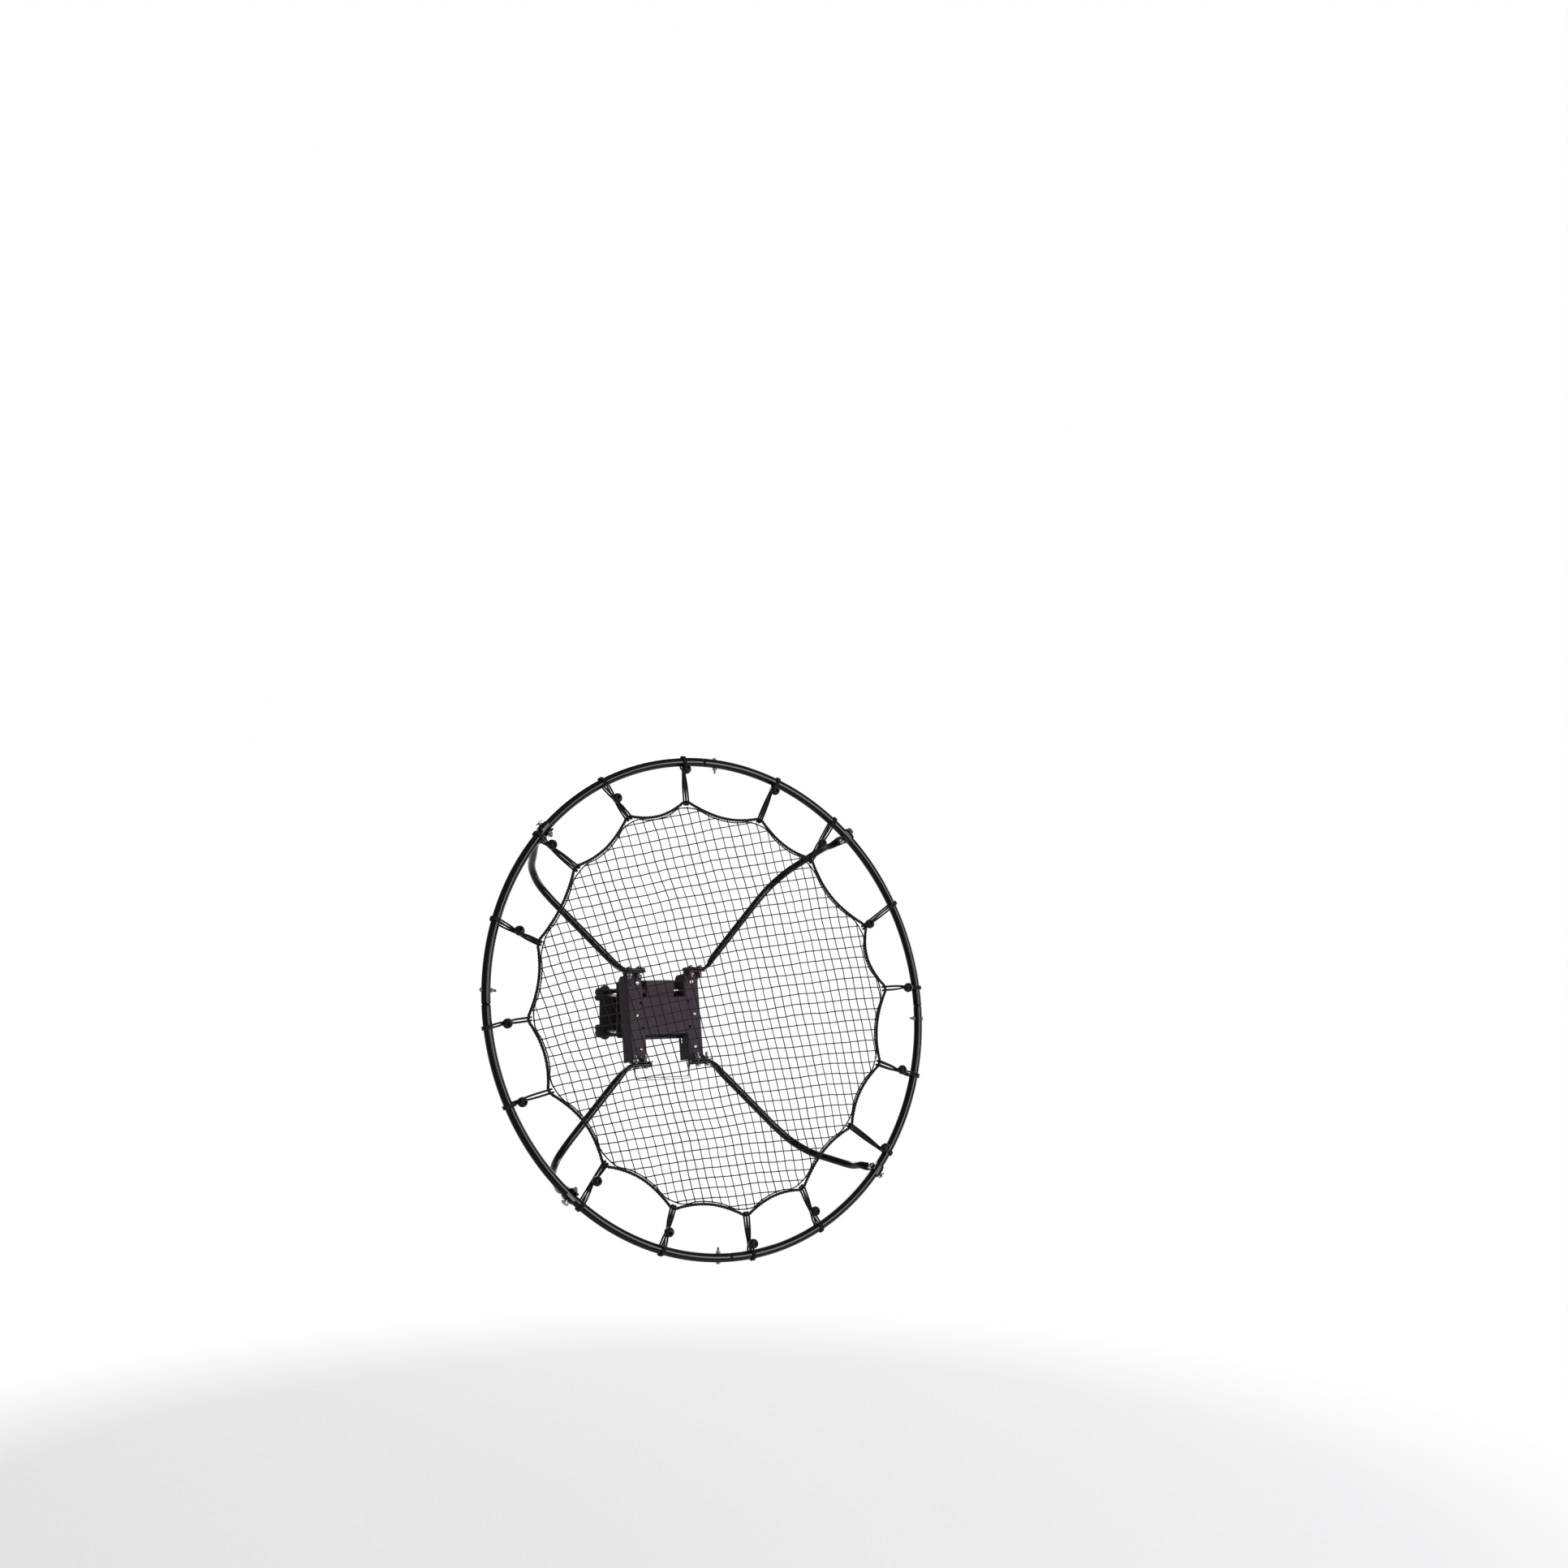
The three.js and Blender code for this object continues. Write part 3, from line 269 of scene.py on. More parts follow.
# %% Powder coat
powder_coat, tree, sockets, here = start_finish(
    "powder_coat_charcoal", (0.054, 0.047, 0.0535), 0.55, specular=0.06
)
skin, marks = skin_and_marks(tree, sockets, here, 1100.0, 0.35, 0.0004, 26.0, 0.38)
gloss_range(tree, sockets, marks["Mask"], 0.5, 0.64)
speckled = mix_colours(tree, skin["Speckle"], (0.046, 0.0395, 0.046), (0.088, 0.0765, 0.088))
tinted = mix_colours(tree, marks["Smudge"], speckled, (0.067, 0.0575, 0.065))
feed(tree, sockets["Base Color"], tinted)

# %% [markdown]
# Bolts, nuts, studs and the springs are zinc plated. Bright zinc has a bluish cast with
# straw-coloured patches from its passivation, and it is duller in some places than in others.

# %% Zinc plate
zinc_plate, tree, sockets, here = start_finish("zinc_plate", (0.42, 0.41, 0.40), 0.26, metallic=1.0)
skin, marks = skin_and_marks(tree, sockets, here, 2600.0, 0.08, 0.0002, 120.0, 0.5)
gloss_range(tree, sockets, marks["Smudge"], 0.18, 0.36)
patches = remap(tree, noise_value(tree, here, 95.0, 2.0), 0.4, 0.62)
cast = mix_colours(tree, patches, (0.38, 0.42, 0.50), (0.52, 0.46, 0.34))
tinted = mix_colours(tree, marks["Mask"], cast, (0.20, 0.19, 0.18))
feed(tree, sockets["Base Color"], tinted)

# %% [markdown]
# The handle is a bright chromed wire, smoother than the zinc. Its warm reflections are partly painted: its
# colour is tinted warm.

# %% Chrome wire
chrome_wire, tree, sockets, here = start_finish(
    "chrome_wire", (0.66, 0.60, 0.54), 0.16, metallic=1.0
)
skin, marks = skin_and_marks(tree, sockets, here, 1500.0, 0.04, 0.0002, 60.0, 0.4)
gloss_range(tree, sockets, marks["Mask"], 0.12, 0.26)
# Both colours are tinted warm: painted warm reflection.
tinted = mix_colours(tree, marks["Smudge"], (0.72, 0.66, 0.60), (0.46, 0.40, 0.35))
feed(tree, sockets["Base Color"], tinted)

# %% [markdown]
# The cords are textiles. Elastic cord has a braided sleeve, whose strands cross in two slants, and
# rope and netting are twisted, with one slant. Both patterns are waves on the cord's own map,
# where U runs along the cord and V round it, so they follow every bend. The colour is paler on
# the crests of the waves and darker in the grooves, which is painted shade.

# %% Cord patterns
weave_group, into, out = new_group(
    "cord_weave",
    [
        ("Map", "NodeSocketVector", None),
        ("Along", "NodeSocketFloat", 60.0),
        ("Around", "NodeSocketFloat", 4.0),
        ("Cross", "NodeSocketFloat", 1.0),
    ],
    [("Height", "NodeSocketFloat"), ("Fuzz", "NodeSocketFloat")],
)
split = weave_group.nodes.new("ShaderNodeSeparateXYZ")
feed(weave_group, split.inputs[0], into.outputs["Map"])
run = maths(weave_group, "MULTIPLY", split.outputs["X"], into.outputs["Along"])
wrap = maths(weave_group, "MULTIPLY", split.outputs["Y"], into.outputs["Around"])
turns = maths(weave_group, "MULTIPLY", maths(weave_group, "ADD", run, wrap), tau)
other = maths(weave_group, "MULTIPLY", maths(weave_group, "SUBTRACT", run, wrap), tau)
first = maths(weave_group, "ABSOLUTE", maths(weave_group, "SINE", turns))
second = maths(weave_group, "ABSOLUTE", maths(weave_group, "SINE", other))
second = maths(weave_group, "MULTIPLY", second, into.outputs["Cross"])
crossed = maths(weave_group, "MAXIMUM", first, second)
feed(weave_group, out.inputs["Height"], crossed)
threads = noise_value(weave_group, into.outputs["Map"], 900.0, 4.0, 0.7)
feed(weave_group, out.inputs["Fuzz"], remap(weave_group, threads, 0.4, 0.7))

def cord_finish(name, dark, pale, along_count, around_count, cross, roughness):
    made, tree, sockets, here = start_finish(name, dark, roughness, specular=0.12)
    cord_map = here.node.outputs["UV"]
    weave = place_group(
        tree, weave_group, Map=cord_map, Along=along_count, Around=around_count, Cross=cross
    )
    grey = noise_value(tree, here, 260.0, 4.0)
    # The weave's crests are paler and its grooves darker: painted shade, mixed with a random grey tone.
    painted_shade_and_tone = maths(tree, "MULTIPLY", weave.outputs["Height"], remap(tree, grey, 0.35, 0.7, 0.35, 1.0))
    feed(tree, sockets["Base Color"], mix_colours(tree, painted_shade_and_tone, dark, pale))
    feed(tree, sockets["Normal"], bump(tree, weave.outputs["Height"], 0.6, 0.0006))
    feed(tree, sockets["Roughness"], remap(tree, grey, 0.3, 0.7, roughness - 0.1, roughness + 0.08))
    sockets["Sheen Weight"].default_value = 0.12
    sockets["Sheen Roughness"].default_value = 0.5
    return made

elastic_sleeve = cord_finish(
    "elastic_sleeve", (0.0065, 0.005, 0.0045), (0.02, 0.016, 0.015), 70.0, 3.0, 1.0, 0.8
)
rope_fibre = cord_finish(
    "rope_fibre", (0.0065, 0.005, 0.0045), (0.021, 0.017, 0.015), 900.0, 2.0, 0.0, 0.82
)
net_twine = cord_finish(
    "net_twine", (0.006, 0.0048, 0.0045), (0.018, 0.015, 0.014), 160.0, 1.0, 0.3, 0.8
)

# %% [markdown]
# The balls of the bungees are moulded rubber: matte, with a faint bloom and a fine skin.

# %% Ball rubber
ball_rubber, tree, sockets, here = start_finish(
    "ball_rubber", (0.009, 0.0072, 0.007), 0.5, specular=0.2
)
skin, marks = skin_and_marks(tree, sockets, here, 700.0, 0.12, 0.0003, 45.0, 0.45)
gloss_range(tree, sockets, marks["Mask"], 0.42, 0.62)
tinted = mix_colours(tree, marks["Smudge"], (0.0085, 0.007, 0.007), (0.016, 0.014, 0.014))
feed(tree, sockets["Base Color"], tinted)
print("finishes:", len(bpy.data.materials))

# %% [markdown]
# ## Making pieces
# Nearly every piece here is a swept or turned form. `loft` starts from one circle, extrudes its
# edge once for each further ring and puts every corner where a function of its turn says, so the
# same few lines make a tube, a flattened tube end or a hexagon bolt. `add_piece` merges doubles,
# puts the place into the mesh, turns the faces outwards and makes the piece ride on its body.

# %% Loft

def close_holes(form):
    bmesh.ops.holes_fill(form, edges=[rim for rim in form.edges if rim.is_boundary], sides=0)

def loft(rings, sides=32):
    """Joins rings of corners, each a function of the turn, and closes both ends."""
    form = bmesh.new()
    turn_layer = form.verts.layers.float.new("turn")
    bmesh.ops.create_circle(form, radius=1.0, segments=sides)
    for corner in form.verts:
        corner[turn_layer] = atan2(corner.co.y, corner.co.x)
    corners, edges = form.verts[:], form.edges[:]
    for number, ring in enumerate(rings):
        if number:
            made = bmesh.ops.extrude_edge_only(form, edges=edges)["geom"]
            corners = [part for part in made if isinstance(part, bmesh.types.BMVert)]
            fresh = set(corners)
            edges = [
                part
                for part in made
                if isinstance(part, bmesh.types.BMEdge) and fresh.issuperset(part.verts)
            ]
        for corner in corners:
            corner.co = ring(corner[turn_layer])
    close_holes(form)
    return form

# %% [markdown]
# A form is worked on as a bmesh and becomes a mesh when it is done. The elastic loops, their balls
# and the springs ride on no body: their places are put into their meshes, and they stay where
# they are made.

# %% Finished pieces

def mesh_of(form, name):
    """The mesh of a form, which is then freed."""
    mesh = bpy.data.meshes.new(name)
    form.to_mesh(mesh)
    form.free()
    return mesh

def finish_mesh(form, name, finish, place=hoop_axes, sharp=radians(35)):
    bmesh.ops.remove_doubles(form, verts=form.verts, dist=1e-6)
    form.transform(place)
    bmesh.ops.recalc_face_normals(form, faces=form.faces)
    mesh = mesh_of(form, name)
    mesh.shade_smooth()
    mesh.set_sharp_from_angle(angle=sharp)
    mesh.materials.append(finish)
    return new_object(name, mesh)

def add_piece(form, name, finish, stands_for=(), body="net_frame", place=hoop_axes, sharp=radians(35)):
    """A piece that rides on one body and may stand for nodes of the CAD model."""
    piece = finish_mesh(form, name, finish, place, sharp)
    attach(piece, body)
    if stands_for:
        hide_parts(*stands_for)
    return piece

def add_stretched(form, name, finish, node, place=hoop_axes):
    """A piece that rides on no body and stays where it is made, standing for a node of the CAD model."""
    piece = finish_mesh(form, name, finish, place)
    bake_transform(piece)
    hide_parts(node)

def aimed(place, direction):
    """Turns a form made along +z to point another way and moves it to its place."""
    turn = z_way.rotation_difference(direction)
    return Matrix.Translation(place) @ turn.to_matrix().to_4x4()

def merge_forms(forms):
    """Puts several forms in one."""
    whole = bmesh.new()
    for form in forms:
        held = mesh_of(form, "held")
        whole.from_mesh(held)
        bpy.data.meshes.remove(held)
    return whole

def mirrored(form, right, up):
    copy = form.copy()
    bmesh.ops.scale(copy, vec=(right, 1, up), verts=copy.verts)
    return copy

def form_of(holder, tools=()):
    """The form of an object with its bevel or modifiers applied. The helper objects then go."""
    graph = bpy.context.evaluated_depsgraph_get()
    made = bpy.data.meshes.new_from_object(holder.evaluated_get(graph))
    form = bmesh.new()
    form.from_mesh(made)
    bpy.data.meshes.remove(made)
    for helper in (holder, *tools):
        data = helper.data
        kept_in = bpy.data.meshes if helper.type == "MESH" else bpy.data.curves
        bpy.data.objects.remove(helper)
        kept_in.remove(data)
    return form

# %% [markdown]
# Cords, wires and arms follow smooth runs through a few stops. A Catmull-Rom run goes through
# every stop, so the stops can be read off the object.

# %% Routes and sections

def smooth_route(stops, steps, joined=False):
    """A smooth run through the stops, which may be points or longer rows of numbers."""
    rows = [Vector(stop) for stop in stops]
    count = len(rows)
    route = []
    for i in range(count if joined else count - 1):
        if joined:
            a, b, c, d = (rows[(i + k) % count] for k in (-1, 0, 1, 2))
        else:
            a, b, c, d = (rows[min(max(i + k, 0), count - 1)] for k in (-1, 0, 1, 2))
        squared, cubed = 2 * a - 5 * b + 4 * c - d, 3 * b - a - 3 * c + d
        for step in range(steps):
            t = step / steps
            route.append(0.5 * (2 * b + (c - a) * t + squared * t**2 + cubed * t**3))
    if not joined:
        route.append(rows[-1])
    return route

def oval(turn, half_wide, half_thick):
    """A round-cornered section: a circle when its halves are equal, and a flat bar when not."""
    corner = min(half_wide, half_thick)
    spread = lambda way: max(-1.0, min(1.0, 2.5 * way))
    wide = (half_wide - corner) * spread(cos(turn)) + corner * cos(turn)
    thick = (half_thick - corner) * spread(sin(turn)) + corner * sin(turn)
    return wide, thick

def round_ring(place, side, other, radius):
    return lambda turn: place + side * (radius * cos(turn)) + other * (radius * sin(turn))

def tube_form(routes, diameter, joined=False, resolution=2):
    """Round cords along routes of points, made by a curve's own bevel, with a map on them."""
    curve = bpy.data.curves.new("route", "CURVE")
    curve.dimensions = "3D"
    curve.bevel_depth = diameter / 2
    curve.bevel_resolution = resolution
    curve.use_fill_caps = not joined
    for route in routes:
        spline = curve.splines.new("POLY")
        spline.points.add(len(route) - 1)
        for point, place in zip(spline.points, route):
            point.co = (*place, 1)
        spline.use_cyclic_u = joined
    return form_of(new_object("route", curve))

# %% [markdown]
# ## The hoop
# Four quarter arcs of 22 mm tube. One end of each is swaged down and slides into its neighbour, so
# each seam shows a thin dark notch with a step. The wall runs back inside the open end, which
# makes the tube hollow where it can be seen. A revolved torus would be quicker, but it has no
# seams, and a curve can't change its thickness and turn back inside itself as cleanly as a loft.

# %% Hoop segments
hoop_radius = 624 * mm
hoop_tube = 22.2 * mm
segment_angle = radians(90)
seam_lead = radians(1.8)
seam_bolt_inset = radians(3)
arm_angle = radians(45)
tongue_reach = 58 * mm
tongue_radius = 9.2 * mm
bore_radius = 9.5 * mm
arc_steps = 72

def hoop_ring(angle, radius):
    return round_ring(polar(hoop_radius, angle), polar(1, angle), y_way, radius)

def segment_rings(start):
    end = start + segment_angle
    tube = hoop_tube / 2
    swage = [
        (-tongue_reach, tongue_radius - 1 * mm),
        (-tongue_reach + 1 * mm, tongue_radius),
        (0.6 * mm, tongue_radius),
        (1.2 * mm, tongue_radius + 0.3 * mm),
        (2.2 * mm, tube - 0.5 * mm),
        (3.4 * mm, tube),
    ]
    mouth = [
        (-1.2 * mm, tube),
        (-0.5 * mm, tube - 0.15 * mm),
        (-0.3 * mm, tube - 0.5 * mm),
        (-0.3 * mm, bore_radius),
        (-tongue_reach - 2 * mm, bore_radius),
    ]
    rings = [hoop_ring(start + far / hoop_radius, radius) for far, radius in swage]
    first = start + 8 * mm / hoop_radius
    last = end - 6 * mm / hoop_radius
    for step in range(arc_steps + 1):
        rings.append(hoop_ring(mix(first, last, step / arc_steps), tube))
    rings += [hoop_ring(end + far / hoop_radius, radius) for far, radius in mouth]
    return rings

for k in range(4):
    segment = loft(segment_rings(k * segment_angle - seam_lead))
    add_piece(segment, f"hoop_tube_{k + 1}", gloss_black, [f"hoop_segment_{k + 1}"])
print("hoop 4 segments, outer radius", round(hoop_radius + hoop_tube / 2, 4))

# %% [markdown]
# Where each arm meets the hoop, a saddle pad sits on the outside of the tube: a block with a lower
# foot at each end, moulded round the tube. It is lofted along the tube, ring by ring.

# %% Saddle pads
saddle_stops = [
    (-16.4, 10.6, 11.5),
    (-16.0, 11.9, 12.4),
    (-14.9, 12.5, 12.9),
    (-11.6, 12.5, 12.9),
    (-11.1, 12.5, 13.2),
    (-10.5, 12.6, 14.2),
    (-9.7, 12.6, 14.6),
]
saddle_stops += [(-along, half, top) for along, half, top in reversed(saddle_stops)]

def saddle_ring(middle, outward, tangent, along, half, top):
    centre = middle + tangent * (along * mm)

    def corner(turn):
        across, up = cos(turn), sin(turn)
        wide = half * mm * (1 if across > 0 else -1) * abs(across) ** 0.35
        if up > 0:
            rise = top * mm * up**0.45
            wide *= 1 - 0.28 * up**4
        else:
            rise = 1.0 * mm * up
        return centre + y_way * wide + outward * rise

    return corner

for k in range(4):
    angle = k * segment_angle + arm_angle
    outward = polar(1, angle)
    tangent = outward.cross(y_way)
    middle = polar(hoop_radius, angle)
    rings = [saddle_ring(middle, outward, tangent, *stop) for stop in saddle_stops]
    add_piece(loft(rings, sides=40), f"saddle_pad_{k + 1}", gloss_black)
print("saddle pads 4")

# %% [markdown]
# ## Bolts
# One function makes every fastener: a list of heights, each with a radius that may be a hexagon,
# a circle or the smaller of the two, which is just how a chamfered hexagon head is turned from
# bar. Ring grooves stand for the thread, because at this size nobody sees that it isn't a helix.

# %% Bolt profiles
hex_share = 1.6
head_share = 0.65
nut_share = 0.85
seat_gap = 0.3 * mm

def round_at(radius):
    return lambda turn: radius

def hex_at(apothem, limit):
    def radius(turn):
        off = (turn + pi / 6) % (pi / 3) - pi / 6
        return min(apothem / cos(off), limit)

    return radius

def hex_levels(low, high, apothem):
    """A nut or head between two heights, chamfered at both ends."""
    chamfer = 0.12 * (high - low)
    return [
        (low, hex_at(apothem, apothem)),
        (low + chamfer, hex_at(apothem, apothem * 1.12)),
        (mix(low, high, 0.3), hex_at(apothem, apothem * 1.16)),
        (mix(low, high, 0.7), hex_at(apothem, apothem * 1.16)),
        (high - chamfer, hex_at(apothem, apothem * 1.12)),
        (high, hex_at(apothem, apothem * 0.97)),
        (high, round_at(apothem * 0.6)),
    ]

def head_levels(low, high, apothem):
    """A hexagon head whose crown is domed, with a small hollow in the middle."""
    shoulder = (mix(low, high, 0.45), hex_at(apothem, apothem * 1.14))
    dome = [(0.62, 1.02), (0.8, 0.86), (0.93, 0.66), (1.0, 0.46)]
    hollow = [(0.98, 0.36), (0.8, 0.27), (0.74, 0.1)]
    crown = [(mix(low, high, rise), round_at(apothem * share)) for rise, share in dome + hollow]
    return hex_levels(low, high, apothem)[:3] + [shoulder] + crown

def thread_levels(low, high, radius, pitch):
    levels = []
    count = max(1, round((high - low) / pitch))
    for i in range(count):
        base = mix(low, high, i / count)
        levels.append((base, round_at(radius * 0.86)))
        levels.append((base + (high - low) / count * 0.5, round_at(radius)))
    return levels

def turned(levels, sides=24):
    """A form round the z axis, from heights that each have a radius as a function of the turn."""

    def ring_at(level, radius):
        return lambda turn: Vector((radius(turn) * cos(turn), radius(turn) * sin(turn), level))

    return loft([ring_at(level, radius) for level, radius in levels], sides)

def knob_levels():
    """A flat disc on a neck, with a shallow dish in its face."""
    neck = [(0.6, 6.4), (1.0, 5.2), (4.1, 4.7), (4.8, 5.6)]
    disc = [(4.9, 9.2), (5.3, 9.9), (7.0, 10.0), (8.1, 9.3)]
    dish = [(8.7, 7.6), (8.5, 6.2), (7.9, 4.6), (7.7, 1.0)]
    return [(level * mm, round_at(radius * mm)) for level, radius in neck + disc + dish]

def bolt(diameter, grip, tail, head="hex"):
    """A bolt along +z, seated at 0, with its nut on the far side of the grip."""
    apothem = diameter * hex_share / 2
    nut_top = -grip + seat_gap
    nut_low = -grip - diameter * nut_share
    pitch = max(0.9 * mm, diameter * 0.14)
    end = nut_low - tail
    levels = [(end, round_at(diameter * 0.36))]
    levels += thread_levels(end + 0.4 * mm, nut_low, diameter / 2, pitch)
    levels += hex_levels(nut_low, nut_top, apothem)
    shank = round_at(diameter / 2)
    levels += [(nut_top + 0.01 * mm, shank), (-seat_gap - 0.01 * mm, shank)]
    if head == "hex":
        levels += head_levels(-seat_gap, diameter * head_share, apothem)
    else:
        levels += [(-seat_gap, round_at(6.6 * mm))] + knob_levels()
    return turned(levels)

# %% Seam bolts and arm bolts
seam_bolt_diameter = 6.35 * mm
seam_bolt_tail = 9 * mm
arm_bolt_diameter = 8 * mm
arm_bolt_tail = 4 * mm
saddle_height = hoop_tube / 2 + 3.5 * mm
paddle_thickness = 3.8 * mm
for k in range(4):
    angle = k * segment_angle - seam_lead - seam_bolt_inset
    seat = polar(hoop_radius + hoop_tube / 2 + seat_gap, angle)
    seam_bolt = bolt(seam_bolt_diameter, hoop_tube + 2 * seat_gap, seam_bolt_tail)
    place = hoop_axes @ aimed(seat, polar(1, angle))
    add_piece(seam_bolt, f"seam_screw_{k + 1}", zinc_plate, [f"seam_bolt_{k + 1}"], place=place)
    angle = k * segment_angle + arm_angle
    seat = polar(hoop_radius + saddle_height, angle)
    grip = saddle_height + hoop_tube / 2 + paddle_thickness + 2 * seat_gap
    arm_bolt = bolt(arm_bolt_diameter, grip, arm_bolt_tail, "knob")
    place = hoop_axes @ aimed(seat, polar(1, angle))
    add_piece(arm_bolt, f"arm_screw_{k + 1}", zinc_plate, [f"arm_bolt_{k + 1}"], place=place)
print("seam screws 4, arm screws 4")

# %% [markdown]
# ## The arms
# Each arm is one 19 mm tube. Its front end is flattened to a fishtail that lies against the inside
# of the hoop, it sweeps back and inwards in one long bend, and its rear end is flattened again and
# bent level to lie on its bracket. The loft's section changes from a flat bar to a circle and back
# while its route bends, and the other three arms are mirror copies.

# %% Arm stations
arm_tube = 19 * mm
arm_depth = 260 * mm
bend_radius_shares = [0.965, 0.961, 0.915, 0.878, 0.838, 0.782, 0.705]
bend_depth_shares = [0.192, 0.346, 0.588, 0.769, 0.877, 0.962, 0.996]
straight_shares = [0.62, 0.52, 0.44, 0.385]
paddle_radius = hoop_radius - hoop_tube / 2 - 0.1 * mm - paddle_thickness / 2
# How far back along the flattened end, and the end's half width there, in millimetres.
paddle_stops = [(-13, 8.5), (-12.3, 10.4), (-10.5, 12.2), (-7, 13), (8, 13)]
stub_height = 124 * mm
stub_depth = 255 * mm
stub_half_thick = 4.7 * mm
stub_half_wide = 12.5 * mm
stub_outer_end = 120 * mm
stub_inner_end = 62 * mm
stub_chamfer = 0.8 * mm
bend_start = (stub_height + 10 * mm) / sin(arm_angle)
taper_start = bend_start + 45 * mm
route_steps = 5

def arm_station(radius, depth, half_side=arm_tube / 2, half_other=arm_tube / 2, lean=arm_angle):
    """A place on the arm, how its section leans there, and the section's two half sizes."""
    return (*polar(radius, arm_angle, depth), lean, half_side, half_other)

def stub_station(x, less=0.0):
    """The same for the level end on the bracket, smaller all round by less."""
    return (x, stub_depth, stub_height, 0.0, stub_half_thick - less, stub_half_wide - less)

stations = [
    arm_station(paddle_radius, back * mm, half * mm, paddle_thickness / 2) for back, half in paddle_stops
]
stations += [
    arm_station(paddle_radius - 0.6 * mm, 20 * mm, 12.6 * mm, 2.6 * mm),
    arm_station(paddle_radius - 3.5 * mm, 32 * mm, 11.0 * mm, 6.2 * mm),
]
stations += [
    arm_station(radius_share * hoop_radius, depth_share * arm_depth)
    for radius_share, depth_share in zip(bend_radius_shares, bend_depth_shares)
]
stations += [arm_station(share * hoop_radius, arm_depth) for share in straight_shares]
stations += [
    arm_station(taper_start, arm_depth),
    arm_station(bend_start + 22 * mm, 259.5 * mm, 8.4 * mm, 10.2 * mm, radians(44)),
    arm_station(bend_start + 2 * mm, 257.5 * mm, 6.4 * mm, 11.6 * mm, radians(30)),
    (
        stub_outer_end - 2 * mm,
        stub_depth + 0.6 * mm,
        stub_height + 1.2 * mm,
        radians(10),
        4.9 * mm,
        12.4 * mm,
    ),
    stub_station(106 * mm),
    stub_station(72 * mm),
    stub_station(stub_inner_end + 1 * mm),
    stub_station(stub_inner_end, stub_chamfer),
]

# %% Arms

def section_ring(place, side, other, half_side, half_other):
    def corner(turn):
        wide, thick = oval(turn, half_side, half_other)
        return place + side * wide + other * thick

    return corner

def arm_form():
    rows = smooth_route(stations, route_steps)
    places = [Vector(row[:3]) for row in rows]
    rings = []
    for i, row in enumerate(rows):
        ahead = (places[min(i + 1, len(rows) - 1)] - places[max(i - 1, 0)]).normalized()
        if i < 4 * route_steps:
            ahead = y_way
        lean, half_side, half_other = row[3:]
        side = Vector((-sin(lean), 0, cos(lean)))
        other = ahead.cross(side).normalized()
        side = other.cross(ahead).normalized()
        rings.append(section_ring(places[i], side, other, half_side, half_other))
    return loft(rings)

quarters = [(1, 1), (-1, 1), (-1, -1), (1, -1)]
upper_right_arm = arm_form()
for k, (right, up) in enumerate(quarters):
    arm = mirrored(upper_right_arm, right, up)
    add_piece(arm, f"arm_tube_{k + 1}", gloss_black, [f"arm_{k + 1}"], sharp=radians(50))
upper_right_arm.free()
print("arms 4, stations", len(stations))

# %% [markdown]
# ## The tilting frame
# Two channel rails of 3 mm steel stand behind the arms, open to the back, and a plate joins their
# faces. A channel starts as a flat outline that is extruded, its long edges are bevelled to the
# bend radius, and holes and slots are cut with Boolean modifiers, as they are punched in steel.

# %% Sheet metal helpers

def outline_form(outline, thickness, place):
    """A flat outline, given as points, extruded along its own normal and put in place."""
    form = bmesh.new()
    corners = [form.verts.new((x, y, 0)) for x, y in outline]
    face = form.faces.new(corners)
    grown = bmesh.ops.extrude_face_region(form, geom=[face])["geom"]
    raised = [part for part in grown if isinstance(part, bmesh.types.BMVert)]
    bmesh.ops.translate(form, vec=(0, 0, thickness), verts=raised)
    bmesh.ops.recalc_face_normals(form, faces=form.faces)
    form.transform(place)
    return form

# For an outline in y and z, with its thickness along +x.
sideways = Matrix(((0, 0, 1, 0), (1, 0, 0, 0), (0, 1, 0, 0), (0, 0, 0, 1)))

def bevel_edges(form, chosen, width, segments=3):
    bmesh.ops.bevel(
        form,
        geom=chosen,
        offset=width,
        offset_type="OFFSET",
        segments=segments,
        profile=0.5,
        affect="EDGES",
        material=-1,
        clamp_overlap=True,
    )

def edges_at(form, run="", least=0.0, **levels):
    """The edges with both ends at the given x, y or z that run more than the least along an axis."""
    chosen, wanted = [], levels.items()
    for rim in form.edges:
        a, b = (corner.co for corner in rim.verts)
        placed = all(abs(getattr(end, axis) - level) < 1e-5 for end in (a, b) for axis, level in wanted)
        if placed and (not run or abs(getattr(a, run) - getattr(b, run)) > least):
            chosen.append(rim)
    return chosen

def slice_off(form, place, normal):
    """Cuts away what lies past a plane and closes the cut."""
    everything = form.verts[:] + form.edges[:] + form.faces[:]
    bmesh.ops.bisect_plane(form, geom=everything, plane_co=place, plane_no=normal, clear_outer=True)
    close_holes(form)

def combined(form, others, operation):
    """One closed form, after others are cut out of it or joined to it where they overlap."""
    helpers = []
    for part in (form, *others):
        bmesh.ops.recalc_face_normals(part, faces=part.faces)
        helpers.append(new_object("blank", mesh_of(part, "blank")))
    blank, *tools = helpers
    for tool in tools:
        change = blank.modifiers.new("change", "BOOLEAN")
        change.operation = operation
        change.solver = "EXACT"
        change.object = tool
    return form_of(blank, tools)

def drill(place, direction, diameter, reach, sides=24):
    levels = [(-reach, round_at(diameter / 2)), (reach, round_at(diameter / 2))]
    hole = turned(levels, sides)
    hole.transform(aimed(place, direction))
    return hole

def block_form(low, high):
    form = bmesh.new()
    bmesh.ops.create_cube(form, size=1.0)
    size = [b - a for a, b in zip(low, high)]
    bmesh.ops.scale(form, vec=size, verts=form.verts)
    bmesh.ops.translate(form, vec=[(a + b) / 2 for a, b in zip(low, high)], verts=form.verts)
    return form

